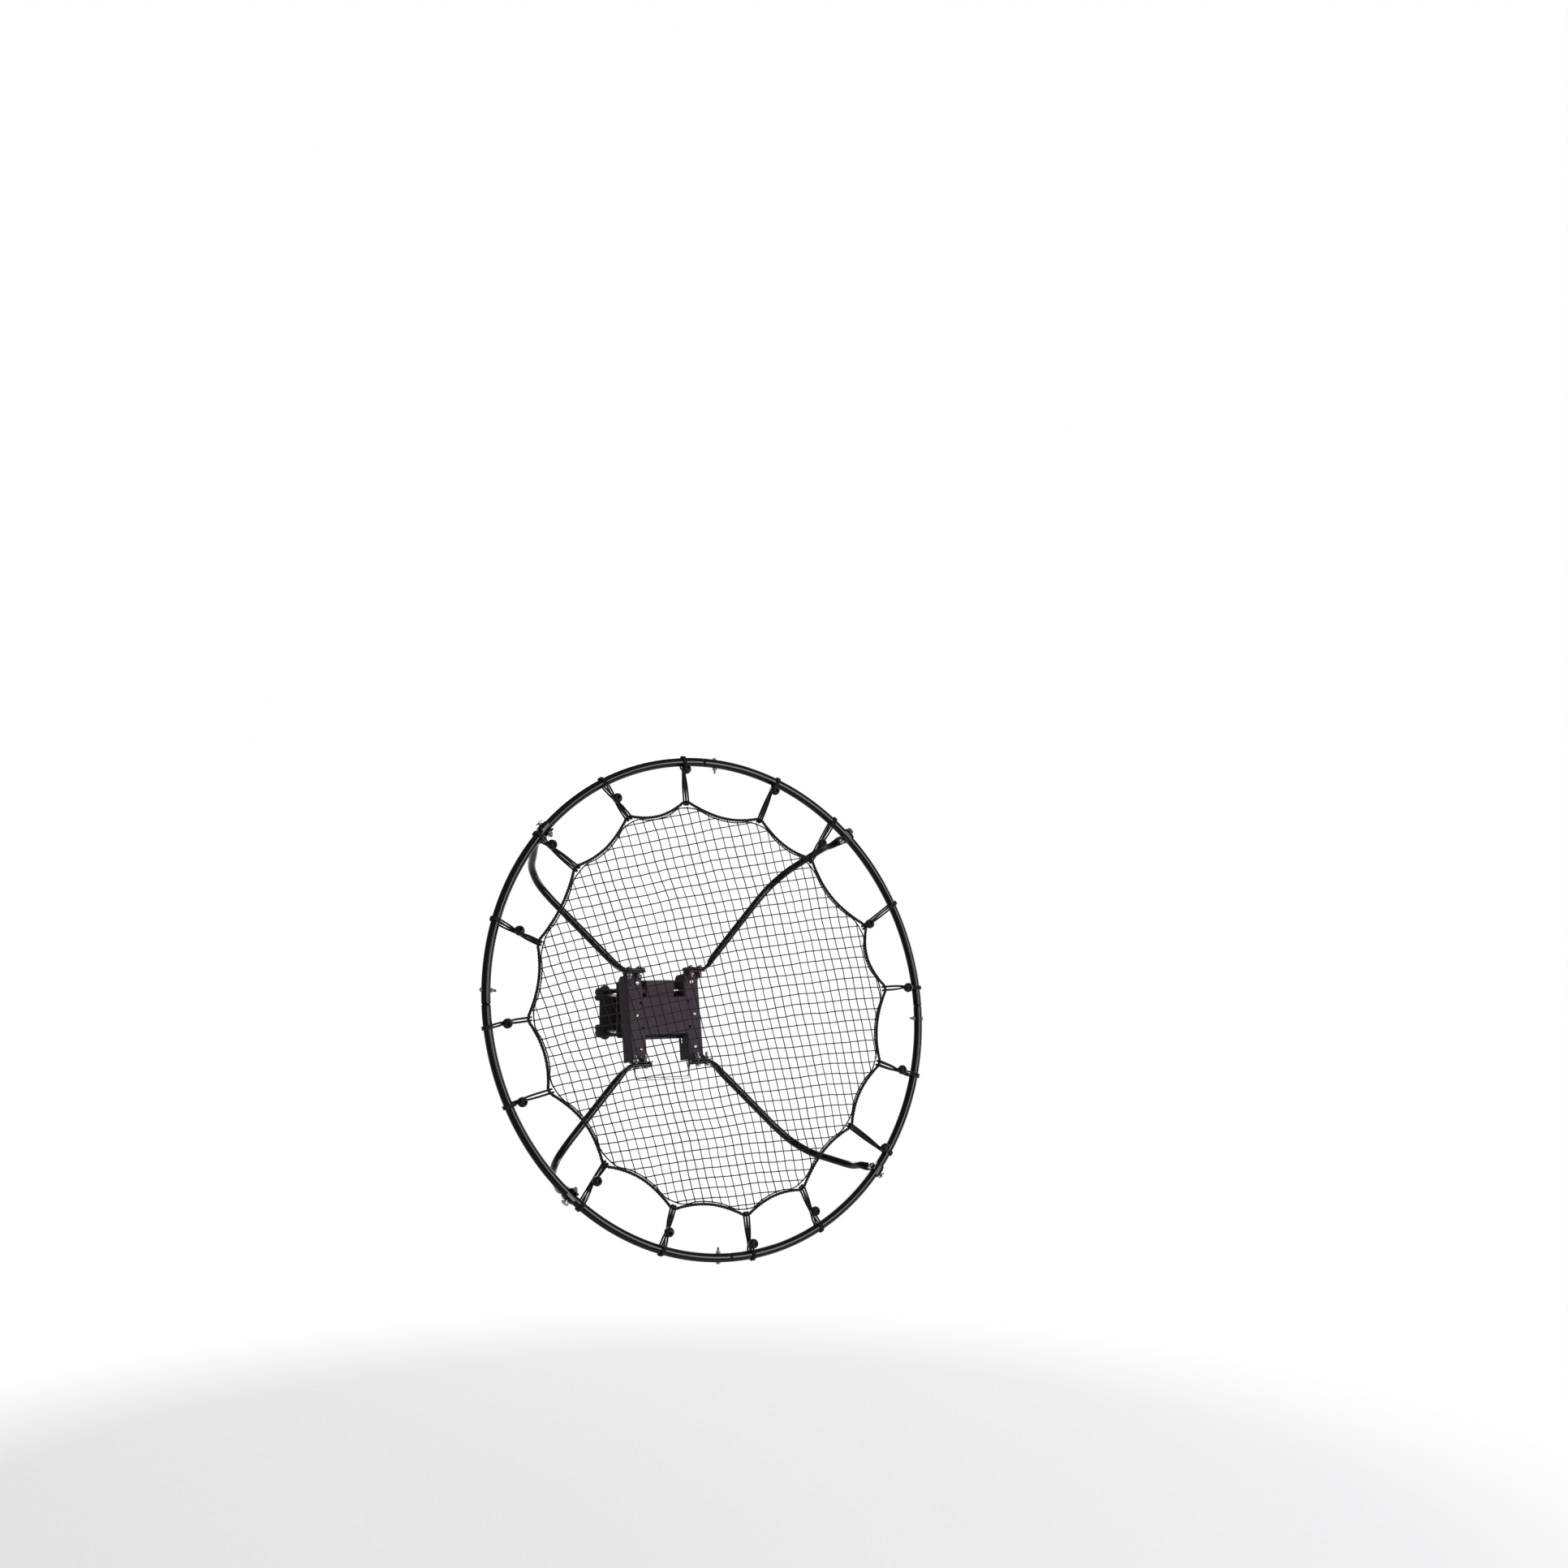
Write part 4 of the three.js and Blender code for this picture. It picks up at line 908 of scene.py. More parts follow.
def soften(piece, width, segments=2):
    """A live bevel on the sharp edges that are left, small enough to catch light."""
    made = piece.modifiers.new("soft_edges", "BEVEL")
    made.width = width
    made.segments = segments
    made.limit_method = "ANGLE"
    made.angle_limit = radians(40)

# %% Rails and cross plate
rail_front = pivot_behind_hoop - 27 * mm
rail_inner = 62.5 * mm
rail_width = 44 * mm
rail_outer = rail_inner + rail_width
rail_depth = 50 * mm
rail_back = rail_front + rail_depth
rail_half_height = 113 * mm
rail_wall = 3 * mm
rail_chamfer = 12 * mm
cross_top = 53 * mm
cross_bottom = -45 * mm
cross_hole = 8 * mm
cross_hole_x = rail_inner + 8 * mm
cross_hole_heights = (39 * mm, -27 * mm)
bracket_bolt_x = 81 * mm
bail_half = 81 * mm
rod_behind_pivot = 11 * mm
rod_below_pivot = 122.5 * mm
bail_depth = pivot_behind_hoop + rod_behind_pivot
rod_height = pivot_above_centre - rod_below_pivot
rod_diameter = 8 * mm
release_travel = 12 * mm
anchor_x = 86 * mm
anchor_height = 6 * mm
guide_height = -81 * mm

def rail_form():
    outline = [
        (rail_inner, rail_back),
        (rail_inner, rail_front),
        (rail_outer, rail_front),
        (rail_outer, rail_back),
        (rail_outer - rail_wall, rail_back),
        (rail_outer - rail_wall, rail_front + rail_wall),
        (rail_inner + rail_wall, rail_front + rail_wall),
        (rail_inner + rail_wall, rail_back),
    ]
    form = outline_form(outline, 2 * rail_half_height, Matrix.Translation((0, 0, -rail_half_height)))
    for depth, bend in ((rail_front, 4 * mm), (rail_front + rail_wall, 1.5 * mm)):
        bevel_edges(form, edges_at(form, "z", rail_half_height, y=depth), bend, 5)
    corner = Vector((0, rail_back - rail_chamfer, rail_half_height))
    slice_off(form, corner, Vector((0, 1, 1)).normalized())
    return form

def rail_cutters():
    slack = 0.5 * mm
    half = rod_diameter / 2 + slack
    through = 3 * rail_wall
    slot_low = (rail_inner - through, bail_depth - half, rod_height - release_travel - half)
    slot_high = (rail_inner + through, bail_depth + half, rod_height + half)
    web = lambda x, z, wide: drill(Vector((x, rail_front, z)), y_way, wide, through)
    return [
        block_form(slot_low, slot_high),
        drill(Vector((rail_inner, pivot_behind_hoop, pivot_above_centre)), x_way, 10.1 * mm, through),
        *(web(cross_hole_x, level, cross_hole) for level in cross_hole_heights),
    ]

right_rail = combined(rail_form(), [merge_forms(rail_cutters())], "DIFFERENCE")
left_rail = mirrored(right_rail, -1, 1)
bmesh.ops.recalc_face_normals(left_rail, faces=left_rail.faces)
for side, form in (("right", right_rail), ("left", left_rail)):
    piece = add_piece(form, f"rail_{side}", powder_coat, ["h_frame"])
    soften(piece, 0.5 * mm)

cross_plate = block_form(
    (-rail_inner - 1.5 * mm, rail_front + 0.15 * mm, cross_bottom),
    (rail_inner + 1.5 * mm, rail_front + rail_wall, cross_top),
)
piece = add_piece(cross_plate, "cross_plate", powder_coat, ["h_frame"])
soften(piece, 0.8 * mm, 3)

# %% [markdown]
# Behind each hole beside the cross plate a round nut is welded to the rail. A ring is turned from its
# section: a few points, spun once round an axis, which is the quickest way to a round solid.

# %% Weld nuts

def spun(section, steps, closed):
    """Turns a section, given as radii and heights, once round the z axis."""
    form = bmesh.new()
    corners = [form.verts.new((radius, 0, level)) for radius, level in section]
    pairs = list(zip(corners, corners[1:]))
    if closed:
        pairs.append((corners[-1], corners[0]))
    edges = [form.edges.new(pair) for pair in pairs]
    bmesh.ops.spin(
        form, geom=corners + edges, cent=(0, 0, 0), axis=(0, 0, 1), angle=tau, steps=steps, use_merge=True
    )
    bmesh.ops.remove_doubles(form, verts=form.verts, dist=1e-6)
    return form

def ring_form(inner, outer, half_width, rim=0.8 * mm, sides=32):
    """A ring with softened corners."""
    half = [
        (inner, half_width - rim / 2),
        (inner + rim / 2, half_width),
        (outer - rim, half_width),
        (outer, half_width - rim),
    ]
    return spun([(radius, -level) for radius, level in half] + half[::-1], sides, closed=True)

weld_nut_half = 5 * mm
weld_nuts = []
for side in (1, -1):
    for level in cross_hole_heights:
        nut = ring_form(3.3 * mm, 7 * mm, weld_nut_half)
        depth = rail_front + rail_wall + weld_nut_half - 0.2 * mm
        nut.transform(aimed(Vector((side * cross_hole_x, depth, level)), y_way))
        weld_nuts.append(nut)
add_piece(merge_forms(weld_nuts), "weld_nuts", powder_coat)
print("rails 2, cross plate", round(cross_top - cross_bottom, 4), "weld nuts", len(weld_nuts))

# %% [markdown]
# ## Arm brackets
# An angle of sheet steel under each arm end: its leg lies on the rail's face and narrows to the
# bolt, and its flange turns forwards under the arm. The angle is extruded from an L outline with
# its bend bevelled round, and two slanted planes then cut the leg's taper.

# %% Brackets
bracket_wall = 3 * mm
flange_depth = 27 * mm
bracket_outer = 118 * mm
foot_half = 12 * mm
flange_low = rail_half_height + bracket_wall
flange_high = flange_low + bracket_wall
upper_bolt_height = 91 * mm
lower_bolt_height = 104 * mm
stud_places = [78 * mm, 106 * mm]
stud_depth = stub_depth - 6 * mm
upper_stud_tail = 8 * mm
lower_stud_tail = 12 * mm

def bracket_form(bolt_height):
    back = rail_front
    front = back - bracket_wall
    foot = bolt_height - 10.5 * mm
    outline = [
        (back, foot),
        (back, flange_high),
        (back - flange_depth, flange_high),
        (back - flange_depth, flange_low),
        (front, flange_low),
        (front, foot),
    ]
    width = bracket_outer - stub_inner_end
    form = outline_form(outline, width, Matrix.Translation((stub_inner_end, 0, 0)) @ sideways)
    for depth, level, bend in ((back, flange_high, 4 * mm), (front, flange_low, 1.2 * mm)):
        bevel_edges(form, edges_at(form, y=depth, z=level), bend, 5)
    for side, wide in ((1, bracket_outer), (-1, stub_inner_end)):
        low = Vector((bracket_bolt_x + side * foot_half, 0, foot))
        slope = Vector((wide, 0, flange_low)) - low
        slice_off(form, low, Vector((slope.z, 0, -slope.x)).normalized() * side)
    bevel_edges(form, edges_at(form, "y", bracket_wall / 2, z=foot), 5 * mm, 4)
    bevel_edges(form, edges_at(form, "z", bracket_wall / 2, y=back - flange_depth), 4 * mm, 4)
    return form

for k, (right, up) in enumerate(quarters):
    bolt_height = upper_bolt_height if up > 0 else lower_bolt_height
    stud_tail = upper_stud_tail if up > 0 else lower_stud_tail
    form = mirrored(bracket_form(bolt_height), right, up)
    piece = add_piece(form, f"bracket_{k + 1}", powder_coat, [f"arm_bracket_{k + 1}"])
    soften(piece, 0.4 * mm)
    seat = stub_height + stub_half_thick
    studs = []
    for x in stud_places:
        stud = bolt(arm_bolt_diameter, seat - flange_low + seat_gap, stud_tail)
        stud.transform(aimed(Vector((x, stud_depth, seat + seat_gap)), z_way))
        studs.append(stud)
    add_piece(mirrored(merge_forms(studs), right, up), f"bracket_studs_{k + 1}", zinc_plate)
    screw = bolt(arm_bolt_diameter, bracket_wall + rail_wall + 2 * seat_gap, arm_bolt_tail)
    seat = Vector((right * bracket_bolt_x, rail_front - bracket_wall - seat_gap, up * bolt_height))
    place = hoop_axes @ aimed(seat, -y_way)
    add_piece(screw, f"bracket_screw_{k + 1}", zinc_plate, [f"bracket_bolt_{k + 1}"], place=place)
print("brackets 4, studs 8")

# %% [markdown]
# ## Pivot, latch rod and handle
# The frame hangs on one long bolt through the tilt block. A spacer on each side keeps the block in
# the middle: the right one is zinc plated, and the left one is powder coated.

# %% Pivot bolt
pivot_diameter = 9.5 * mm
pivot_bolt_tail = 4 * mm
cheek_outer = 42 * mm
shoulder_radius = 7 * mm
shoulder_rim = 0.6 * mm
pivot_seat = rail_inner + rail_wall + seat_gap
pivot_axis = hoop_axes @ aimed(Vector((0, pivot_behind_hoop, pivot_above_centre)), x_way)
for low, high, name, finish in (
    (cheek_outer, rail_inner, "spacer_1", zinc_plate),
    (-rail_inner, -cheek_outer, "spacer_2", powder_coat),
):
    inner, outer, rim = low + seat_gap, high - seat_gap, shoulder_rim
    ends = [(inner, rim), (inner + rim, 0), (outer - rim, 0), (outer, rim)]
    spacer = turned([(far, round_at(shoulder_radius - less)) for far, less in ends], 32)
    add_piece(spacer, name, finish, place=pivot_axis)
pivot_bolt = bolt(pivot_diameter, 2 * pivot_seat, pivot_bolt_tail)
pivot_bolt.transform(Matrix.Translation((0, 0, pivot_seat)))
add_piece(pivot_bolt, "pivot_screw", zinc_plate, ["pivot_bolt"], place=pivot_axis)
print("spacers 2, pivot bolt", round(2 * pivot_seat, 4))

# %% [markdown]
# Below the pivot the latch rod lies across the block's two cheeks, just clear of the tips of their
# notches. It is turned, with a collar near each end that keeps the spring's hook on. Its gloss black
# is painted shade for the recess it lies in.

# %% Latch rod
rod_half = 92 * mm
rod_radius = rod_diameter / 2
collar_radius = 5.5 * mm
latch_axis = Vector((0, bail_depth, rod_height))
# How far in from the rod's end, and the radius there.
rod_stops = [
    (0.0, rod_radius - 0.8 * mm),
    (0.8 * mm, rod_radius),
    (1.0 * mm, rod_radius),
    (1.0 * mm, collar_radius - 0.4 * mm),
    (1.4 * mm, collar_radius),
    (2.6 * mm, collar_radius),
    (3.0 * mm, collar_radius - 0.4 * mm),
    (3.0 * mm, rod_radius),
]
left_end = [(inset - rod_half, round_at(radius)) for inset, radius in rod_stops]
right_end = [(rod_half - inset, round_at(radius)) for inset, radius in reversed(rod_stops)]
# The gloss black on the rod is painted shade.
add_piece(
    turned(left_end + right_end),
    "latch_bar",
    gloss_black,
    ["latch_rod"],
    "release_handle",
    hoop_axes @ aimed(latch_axis, x_way),
)
print("latch rod", round(2 * rod_half, 4))

# %% [markdown]
# The handle is a U of 8 mm wire. A curve with a round bevel follows its route, and the ends carry
# eyes that turn on the latch rod, each a short sleeve made by turning its section once round.

# %% Handle
bail_wire = 8 * mm
bail_drop = -158 * mm
bail_corner = 13 * mm
corner_steps = 10
eye_radius = 7.5 * mm
eye_half_width = 3.5 * mm

def bail_route():
    """Down one leg, round a corner, across and up again: one half and its mirror image."""
    half = [(bail_half, rod_height - 3 * mm)]
    for step in range(corner_steps + 1):
        angle = pi / 2 * step / corner_steps
        out = bail_half - bail_corner * (1 - cos(angle))
        half.append((out, bail_drop + bail_corner * (1 - sin(angle))))
    there = [Vector((x, bail_depth, z)) for x, z in half]
    back = [Vector((-x, bail_depth, z)) for x, z in reversed(half)]
    return there + back

eyes = []
for side in (-1, 1):
    eye = ring_form(rod_radius + 0.2 * mm, eye_radius, eye_half_width, 1.6 * mm)
    eye.transform(aimed(latch_axis + x_way * (side * bail_half), x_way))
    eyes.append(eye)
wire = tube_form([bail_route()], bail_wire, resolution=6)
add_piece(merge_forms([wire, *eyes]), "pull_handle", chrome_wire, ["bail"], "release_handle")
print("handle drop", bail_drop)

# %% [markdown]
# Two eye guides on the rails keep the handle's legs straight, and two studs above them hold the
# springs. Each is a small bolt through the rail's face, with its head in front and its nut behind.

# %% Guides and spring studs
guide_shank = 6 * mm
guide_eye_radius = 7.5 * mm
stud_past = 6 * mm

def rail_stud(reach):
    """A bolt along +z with its head on the rail's face at 0 and its nut behind the rail's wall."""
    radius, apothem = guide_shank / 2, guide_shank * hex_share / 2
    nut_low = -rail_wall - guide_shank * nut_share
    levels = [(-reach, round_at(guide_shank * 0.36)), (-reach + 0.6 * mm, round_at(radius))]
    levels += thread_levels(-rail_wall - 16 * mm, nut_low, radius, 1 * mm)
    levels += hex_levels(nut_low, -rail_wall, apothem)
    levels += [(-rail_wall + 0.01 * mm, round_at(radius)), (-0.01 * mm, round_at(radius))]
    return turned(levels + head_levels(0, guide_shank * head_share, apothem))

for i, side in enumerate((1, -1)):
    leg = Vector((side * bail_half, bail_depth, guide_height))
    reach = bail_depth - rail_front - bail_wire / 2 - 0.6 * mm
    shank = rail_stud(reach)
    shank.transform(aimed(Vector((leg.x, rail_front, leg.z)), -y_way))
    eye = ring_form(bail_wire / 2 + 0.4 * mm, guide_eye_radius, 2.5 * mm, 1.4 * mm)
    eye.transform(Matrix.Translation(leg))
    add_piece(merge_forms([shank, eye]), f"handle_guide_{i + 1}", zinc_plate, [f"bail_guide_{i + 1}"])
    shank = rail_stud(bail_depth + stud_past - rail_front)
    shank.transform(aimed(Vector((side * anchor_x, rail_front, anchor_height)), -y_way))
    stop = ring_form(2.9 * mm, 4.5 * mm, 1.5 * mm, 0.4 * mm, 24)
    stop.transform(aimed(Vector((side * anchor_x, bail_depth + stud_past - 1.5 * mm, anchor_height)), y_way))
    stud = merge_forms([shank, stop])
    add_piece(stud, f"spring_stud_{i + 1}", zinc_plate, [f"spring_anchor_bolt_{i + 1}"])
print("guides 2, spring studs 2")

# %% [markdown]
# The latch springs are close-wound coils with a hook at each end. Each is one wire on a helix.

# %% Latch springs
spring_wire = 1.4 * mm
coil_radius = 3.8 * mm
coil_turns = 21
coil_inset = 10 * mm
hook_steps = 11
turn_points = 12
hook_radius = rod_radius + 0.5 * mm + spring_wire / 2
spring_top = anchor_height
spring_low = rod_height

def spring_route(x):
    route = []
    top_hook = Vector((x, bail_depth, spring_top))
    low_hook = Vector((x, bail_depth, spring_low))
    for step in range(hook_steps):
        angle = radians(200 - 28 * step)
        route.append(top_hook + Vector((sin(angle), 0, cos(angle))) * hook_radius)
    coil_high = spring_top - coil_inset
    coil_low = spring_low + coil_inset
    route.append(Vector((x, bail_depth, coil_high + 3 * mm)))
    for step in range(coil_turns * turn_points + 1):
        angle = tau * step / turn_points
        level = mix(coil_high, coil_low, step / (coil_turns * turn_points))
        route.append(Vector((x + coil_radius * cos(angle), bail_depth + coil_radius * sin(angle), level)))
    route.append(Vector((x, bail_depth, coil_low - 3 * mm)))
    for step in range(hook_steps):
        angle = radians(20 + 28 * step)
        route.append(low_hook + Vector((0, sin(angle), cos(angle))) * hook_radius)
    return route

for i, side in enumerate((1, -1)):
    x = side * anchor_x
    form = tube_form([spring_route(x)], spring_wire, resolution=1)
    ends = [Vector((x, bail_depth, level)) for level in (spring_top - 9 * mm, spring_low + 9 * mm)]
    add_stretched(form, f"spring_coil_{i + 1}", zinc_plate, f"latch_spring_{i + 1}")
print("springs 2, turns", coil_turns)

# %% [markdown]
# ## The clamp
# A flat plate in front and a jaw behind are drawn together by four long bolts. The plate is a
# block whose four corners are bevelled round.

# %% Clamp plate
plate_thickness = 5 * mm
plate_half_width = 105 * mm
plate_half_height = 74 * mm
plate_corner = 8 * mm
clamp_bolt_tail = 12 * mm
# Where the bolts pass, in millimetres to the right and up.
clamp_places = [(77, 36), (-77, 36), (-77, -61), (77, -61)]
clamp_diameter = 9.5 * mm
plate = block_form(
    (-plate_half_width, -plate_thickness, -plate_half_height), (plate_half_width, 0, plate_half_height)
)
corners = [
    rim for side in (1, -1) for rim in edges_at(plate, "y", plate_thickness / 2, x=side * plate_half_width)
]
bevel_edges(plate, corners, plate_corner, 6)
piece = add_piece(plate, "clamp_plate", powder_coat, ["front_clamp_plate"], "pole_clamp", part_axes)
soften(piece, 0.6 * mm)

# %% [markdown]
# The jaw is a channel that is open to the front, with a seat plate in its middle and a rounded ear
# round each bolt. An ear's outline is made of arcs, so it is four overlapping discs, joined to the
# channel by Boolean modifiers.

# %% Rear jaw
clamp_opening = 101.6 * mm
jaw_front = clamp_opening + 0.3 * mm
jaw_thickness = 5 * mm
jaw_depth = 22 * mm
jaw_seat_half = 50 * mm
jaw_half_width = 91 * mm
jaw_top = 51 * mm
jaw_bottom = -77 * mm
jaw_back = jaw_front + jaw_depth
web_front = jaw_back - jaw_thickness
# Each ear is four overlapping discs: how far each lies out and up from the bolt, and its radius.
ear_discs = [(16, 7, 11.5), (-1, 9, 15.5), (19, -8, 9), (8, 1, 16)]

def jaw_form():
    outline = [
        (jaw_front, jaw_bottom),
        (jaw_back, jaw_bottom),
        (jaw_back, jaw_top),
        (jaw_front, jaw_top),
        (jaw_front, jaw_top - jaw_thickness),
        (web_front, jaw_top - jaw_thickness),
        (web_front, jaw_bottom + jaw_thickness),
        (jaw_front, jaw_bottom + jaw_thickness),
    ]
    across = Matrix.Translation((-jaw_half_width, 0, 0)) @ sideways
    form = outline_form(outline, 2 * jaw_half_width, across)
    for level, inner_level in ((jaw_bottom, jaw_bottom + jaw_thickness), (jaw_top, jaw_top - jaw_thickness)):
        bevel_edges(form, edges_at(form, y=jaw_back, z=level), 6 * mm, 5)
        bevel_edges(form, edges_at(form, y=web_front, z=inner_level), 1.5 * mm, 5)
    seat_low = (-jaw_seat_half, jaw_front + 0.05 * mm, jaw_bottom + 1 * mm)
    seat_high = (jaw_seat_half, jaw_front + jaw_thickness, jaw_top - 1 * mm)
    others = [block_form(seat_low, seat_high)]
    for x, z in clamp_places:
        right, up = (1 if x > 0 else -1), (1 if z > 0 else -1)
        for out, rise, radius in ear_discs:
            round_edge = round_at(radius * mm)
            disc = turned([(0, round_edge), (jaw_thickness - 0.04 * mm, round_edge)], 40)
            centre = Vector(((x + right * out) * mm, web_front + 0.02 * mm, (z + up * rise) * mm))
            disc.transform(aimed(centre, y_way))
            others.append(disc)
    return combined(form, others, "UNION")

piece = add_piece(jaw_form(), "clamp_jaw", powder_coat, ["rear_clamp_jaw"], "pole_clamp", part_axes)
soften(piece, 0.6 * mm)

# %% Clamp bolts
clamp_grip = plate_thickness + jaw_back + 2 * seat_gap
for k, (x, z) in enumerate(clamp_places):
    place = aimed(Vector((x * mm, -plate_thickness - seat_gap, z * mm)), -y_way)
    screw = bolt(clamp_diameter, clamp_grip, clamp_bolt_tail)
    add_piece(screw, f"clamp_screw_{k + 1}", zinc_plate, [f"clamp_bolt_{k + 1}"], "pole_clamp", place)
print("clamp plate, jaw and 4 bolts")

# %% [markdown]
# The tilt block is welded to the plate: a box between two cheeks, each with a row of notches under
# the pivot for the latch rod. The notches lie on an arc round the pivot, so a loop
# places the points of each notch by its angle.

# %% Tilt block
cheek_inner = 34 * mm
cheek_thickness = 7.6 * mm
block_half_width = 42 * mm
block_front = -50 * mm
block_top = 77 * mm
block_bottom = -60 * mm
cheek_nose = 22.6 * mm
cheek_drop = 22 * mm
tooth_depth = 1.9 * mm
tilt_pitch = radians(3)
tilt_notches = 6
rod_lead = atan2(rod_behind_pivot, rod_below_pivot)
rod_clearance = 0.5 * mm
tip_radius = hypot(rod_below_pivot, rod_behind_pivot) - rod_radius - rod_clearance
notch_shares = (0.28, 0.2, 0.08, -0.08, -0.2, -0.28)
mouth_depth_share = 0.55

def cheek_outline():
    place = lambda radius, angle: (pivot_place.y - radius * sin(angle), pivot_place.z - radius * cos(angle))
    back, front = -plate_thickness, block_front + 1 * mm
    nose, step = pivot_place.y - cheek_nose, pivot_place.z - cheek_drop
    outline = [(back, block_bottom), (back, block_top - 2 * mm), (front, block_top - 2 * mm)]
    outline += [(front, step), (nose, step - (front - nose))]
    nose_angle = asin(cheek_nose / tip_radius)
    outline += [place(tip_radius - 0.6 * mm, nose_angle), place(tip_radius, nose_angle - radians(0.06))]
    for notch in range(tilt_notches - 1, -1, -1):
        middle = notch * tilt_pitch - rod_lead
        for share in notch_shares:
            depth = tooth_depth * (mouth_depth_share if abs(share) > 0.25 else 1.0)
            outline.append(place(tip_radius - depth, middle + share * tilt_pitch))
        for share in (-0.44, -0.56) if notch else (-0.44,):
            outline.append(place(tip_radius, middle + share * tilt_pitch))
    outline.append(place(tip_radius, -rod_lead - tilt_pitch))
    return outline

cheeks = [
    outline_form(cheek_outline(), cheek_thickness, Matrix.Translation((low, 0, 0)) @ sideways)
    for low in (cheek_inner, -cheek_inner - cheek_thickness)
]
block = block_form(
    (-block_half_width, block_front, block_bottom), (block_half_width, -plate_thickness, block_top)
)
bevel_edges(block, edges_at(block, y=block_front), 3 * mm, 5)
whole = merge_forms([block, *cheeks])
piece = add_piece(whole, "ratchet_block", powder_coat, ["tilt_block"], "pole_clamp", part_axes)
soften(piece, 0.5 * mm)
print("notches", tilt_notches)

# %% [markdown]
# ## The border rope
# A rope runs from peak to peak, where the elastic loops pull it out, and dips between them. It is
# laid from three strands that wind round each other, so each strand is a curve that circles the
# rope's route. The table gives each loop's grip on the hoop and its peak, read off the picture in
# degrees, and how far out its ball, its peak and the next dip lie as shares of the hoop's radius.

# %% Bungee table
bungees = [
    (2.8, 3.5, 0.944, 0.846, 0.782),
    (24.2, 22.5, 0.840, 0.832, 0.750),
    (50, 49.4, 0.878, 0.798, 0.768),
    (68, 69.9, 0.957, 0.822, 0.776),
    (93.8, 94.6, 0.966, 0.840, 0.795),
    (116, 113.8, 0.921, 0.838, 0.776),
    (137.4, 136.5, 0.942, 0.811, 0.772),
    (159.6, 161.2, 0.905, 0.814, 0.785),
    (183.3, 182.2, 0.928, 0.835, 0.790),
    (200.9, 202, 0.952, 0.829, 0.761),
    (228.2, 227.4, 0.891, 0.821, 0.774),
    (250.6, 251.2, 0.929, 0.838, 0.793),
    (274.1, 274.2, 0.958, 0.849, 0.801),
    (293.6, 293.8, 0.931, 0.833, 0.763),
    (320.4, 319.1, 0.971, 0.798, 0.763),
    (341.1, 341, 0.923, 0.822, 0.785),
]

def rope_point(i, share, inset=0.0):
    _, peak, _, pull, dip = bungees[i % 16]
    _, next_peak, _, next_pull, _ = bungees[(i + 1) % 16]
    if i % 16 == 15:
        next_peak += 360
    angle = radians(mix(peak, next_peak, share))
    sag = (pull + next_pull) / 2 - dip
    radius = hoop_radius * (mix(pull, next_pull, share) - 4 * sag * share * (1 - share))
    return polar(radius - inset, angle)

# %% Rope
rope_diameter = 7.6 * mm
strand_diameter = 4.0 * mm
strand_offset = 2.0 * mm
lay_pitch = 24 * mm
strand_points_per_turn = 8

rope_stops = [
    rope_point(i, share) for i in range(16) for share in (0.035, 0.12, 0.3, 0.5, 0.7, 0.88, 0.965)
]
rope_line = smooth_route(rope_stops, 6, joined=True)

def even_route(route, spacing):
    """The same closed line with evenly spaced points, and its length."""
    line = [*route, route[0]]
    lengths = [0.0]
    for a, b in zip(line, line[1:]):
        lengths.append(lengths[-1] + (b - a).length)
    count = round(lengths[-1] / spacing)
    made, k = [], 0
    for i in range(count):
        target = lengths[-1] * i / count
        while k < len(lengths) - 2 and lengths[k + 1] < target:
            k += 1
        span = lengths[k + 1] - lengths[k]
        made.append(line[k].lerp(line[k + 1], (target - lengths[k]) / span if span else 0))
    return made, lengths[-1]

rope_even, rope_length = even_route(rope_line, lay_pitch / strand_points_per_turn)
lay_turns = round(rope_length / lay_pitch)

def wound(route, strand, strands, offset, turns):
    """One strand of a closed rope: the route's points, each moved round it by its share of turns."""
    count = len(route)
    made = []
    for i, place in enumerate(route):
        ahead = (route[(i + 1) % count] - route[i - 1]).normalized()
        other = ahead.cross(y_way).normalized()
        angle = tau * (turns * i / count + strand / strands)
        made.append(place + y_way * (offset * cos(angle)) + other * (offset * sin(angle)))
    return made

strands = [wound(rope_even, k, 3, strand_offset, lay_turns) for k in range(3)]
rope = tube_form(strands, strand_diameter, joined=True, resolution=1)
add_piece(rope, "edge_rope", rope_fibre, ["border_rope"], "net")
print("rope length", round(rope_length, 3), "m, turns", lay_turns)

# %% [markdown]
# ## The net
# Square meshes of about 25 mm, knotted from thin twine and laced to the rope along a selvedge
# cord. The squares are slanted and not quite even, as hand-tensioned netting is. Each row and each
# column is one curve through its knots, clipped where it meets the selvedge, and every knot is a
# small low ball, because there are more than a thousand of them.

# %% Net lattice
net_pitch = 25 * mm
net_half_size = 620 * mm
net_twine_diameter = 2.5 * mm
selvedge_inset = 6.6 * mm
selvedge_diameter = 3.2 * mm
random.seed(41)
noise.seed_set(41)
row_slope = (radians(6), radians(-8), radians(13))
column_lean = (radians(12), radians(-7), radians(8))

def lattice_point(u, v):
    """Where the net's crossing at u across and v up really lies, in metres."""
    s0, su, sv = row_slope
    l0, lu, lv = column_lean
    x = u - (l0 * v + lu * u * v + lv * v * v / 2)
    z = v + s0 * u + su * u * u / 2 + sv * u * v
    wobble = noise.noise_vector(Vector((u, v, 0)) * 9.0)
    fine = noise.noise_vector(Vector((u, v, 3.7)) * 55.0)
    x += wobble.x * 4 * mm + fine.x * 1.3 * mm
    z += wobble.y * 4 * mm + fine.y * 1.3 * mm
    depth = wobble.z * 3 * mm + 5 * mm * (1 - min(1, (x * x + z * z) / 0.25))
    return Vector((x, depth, z))

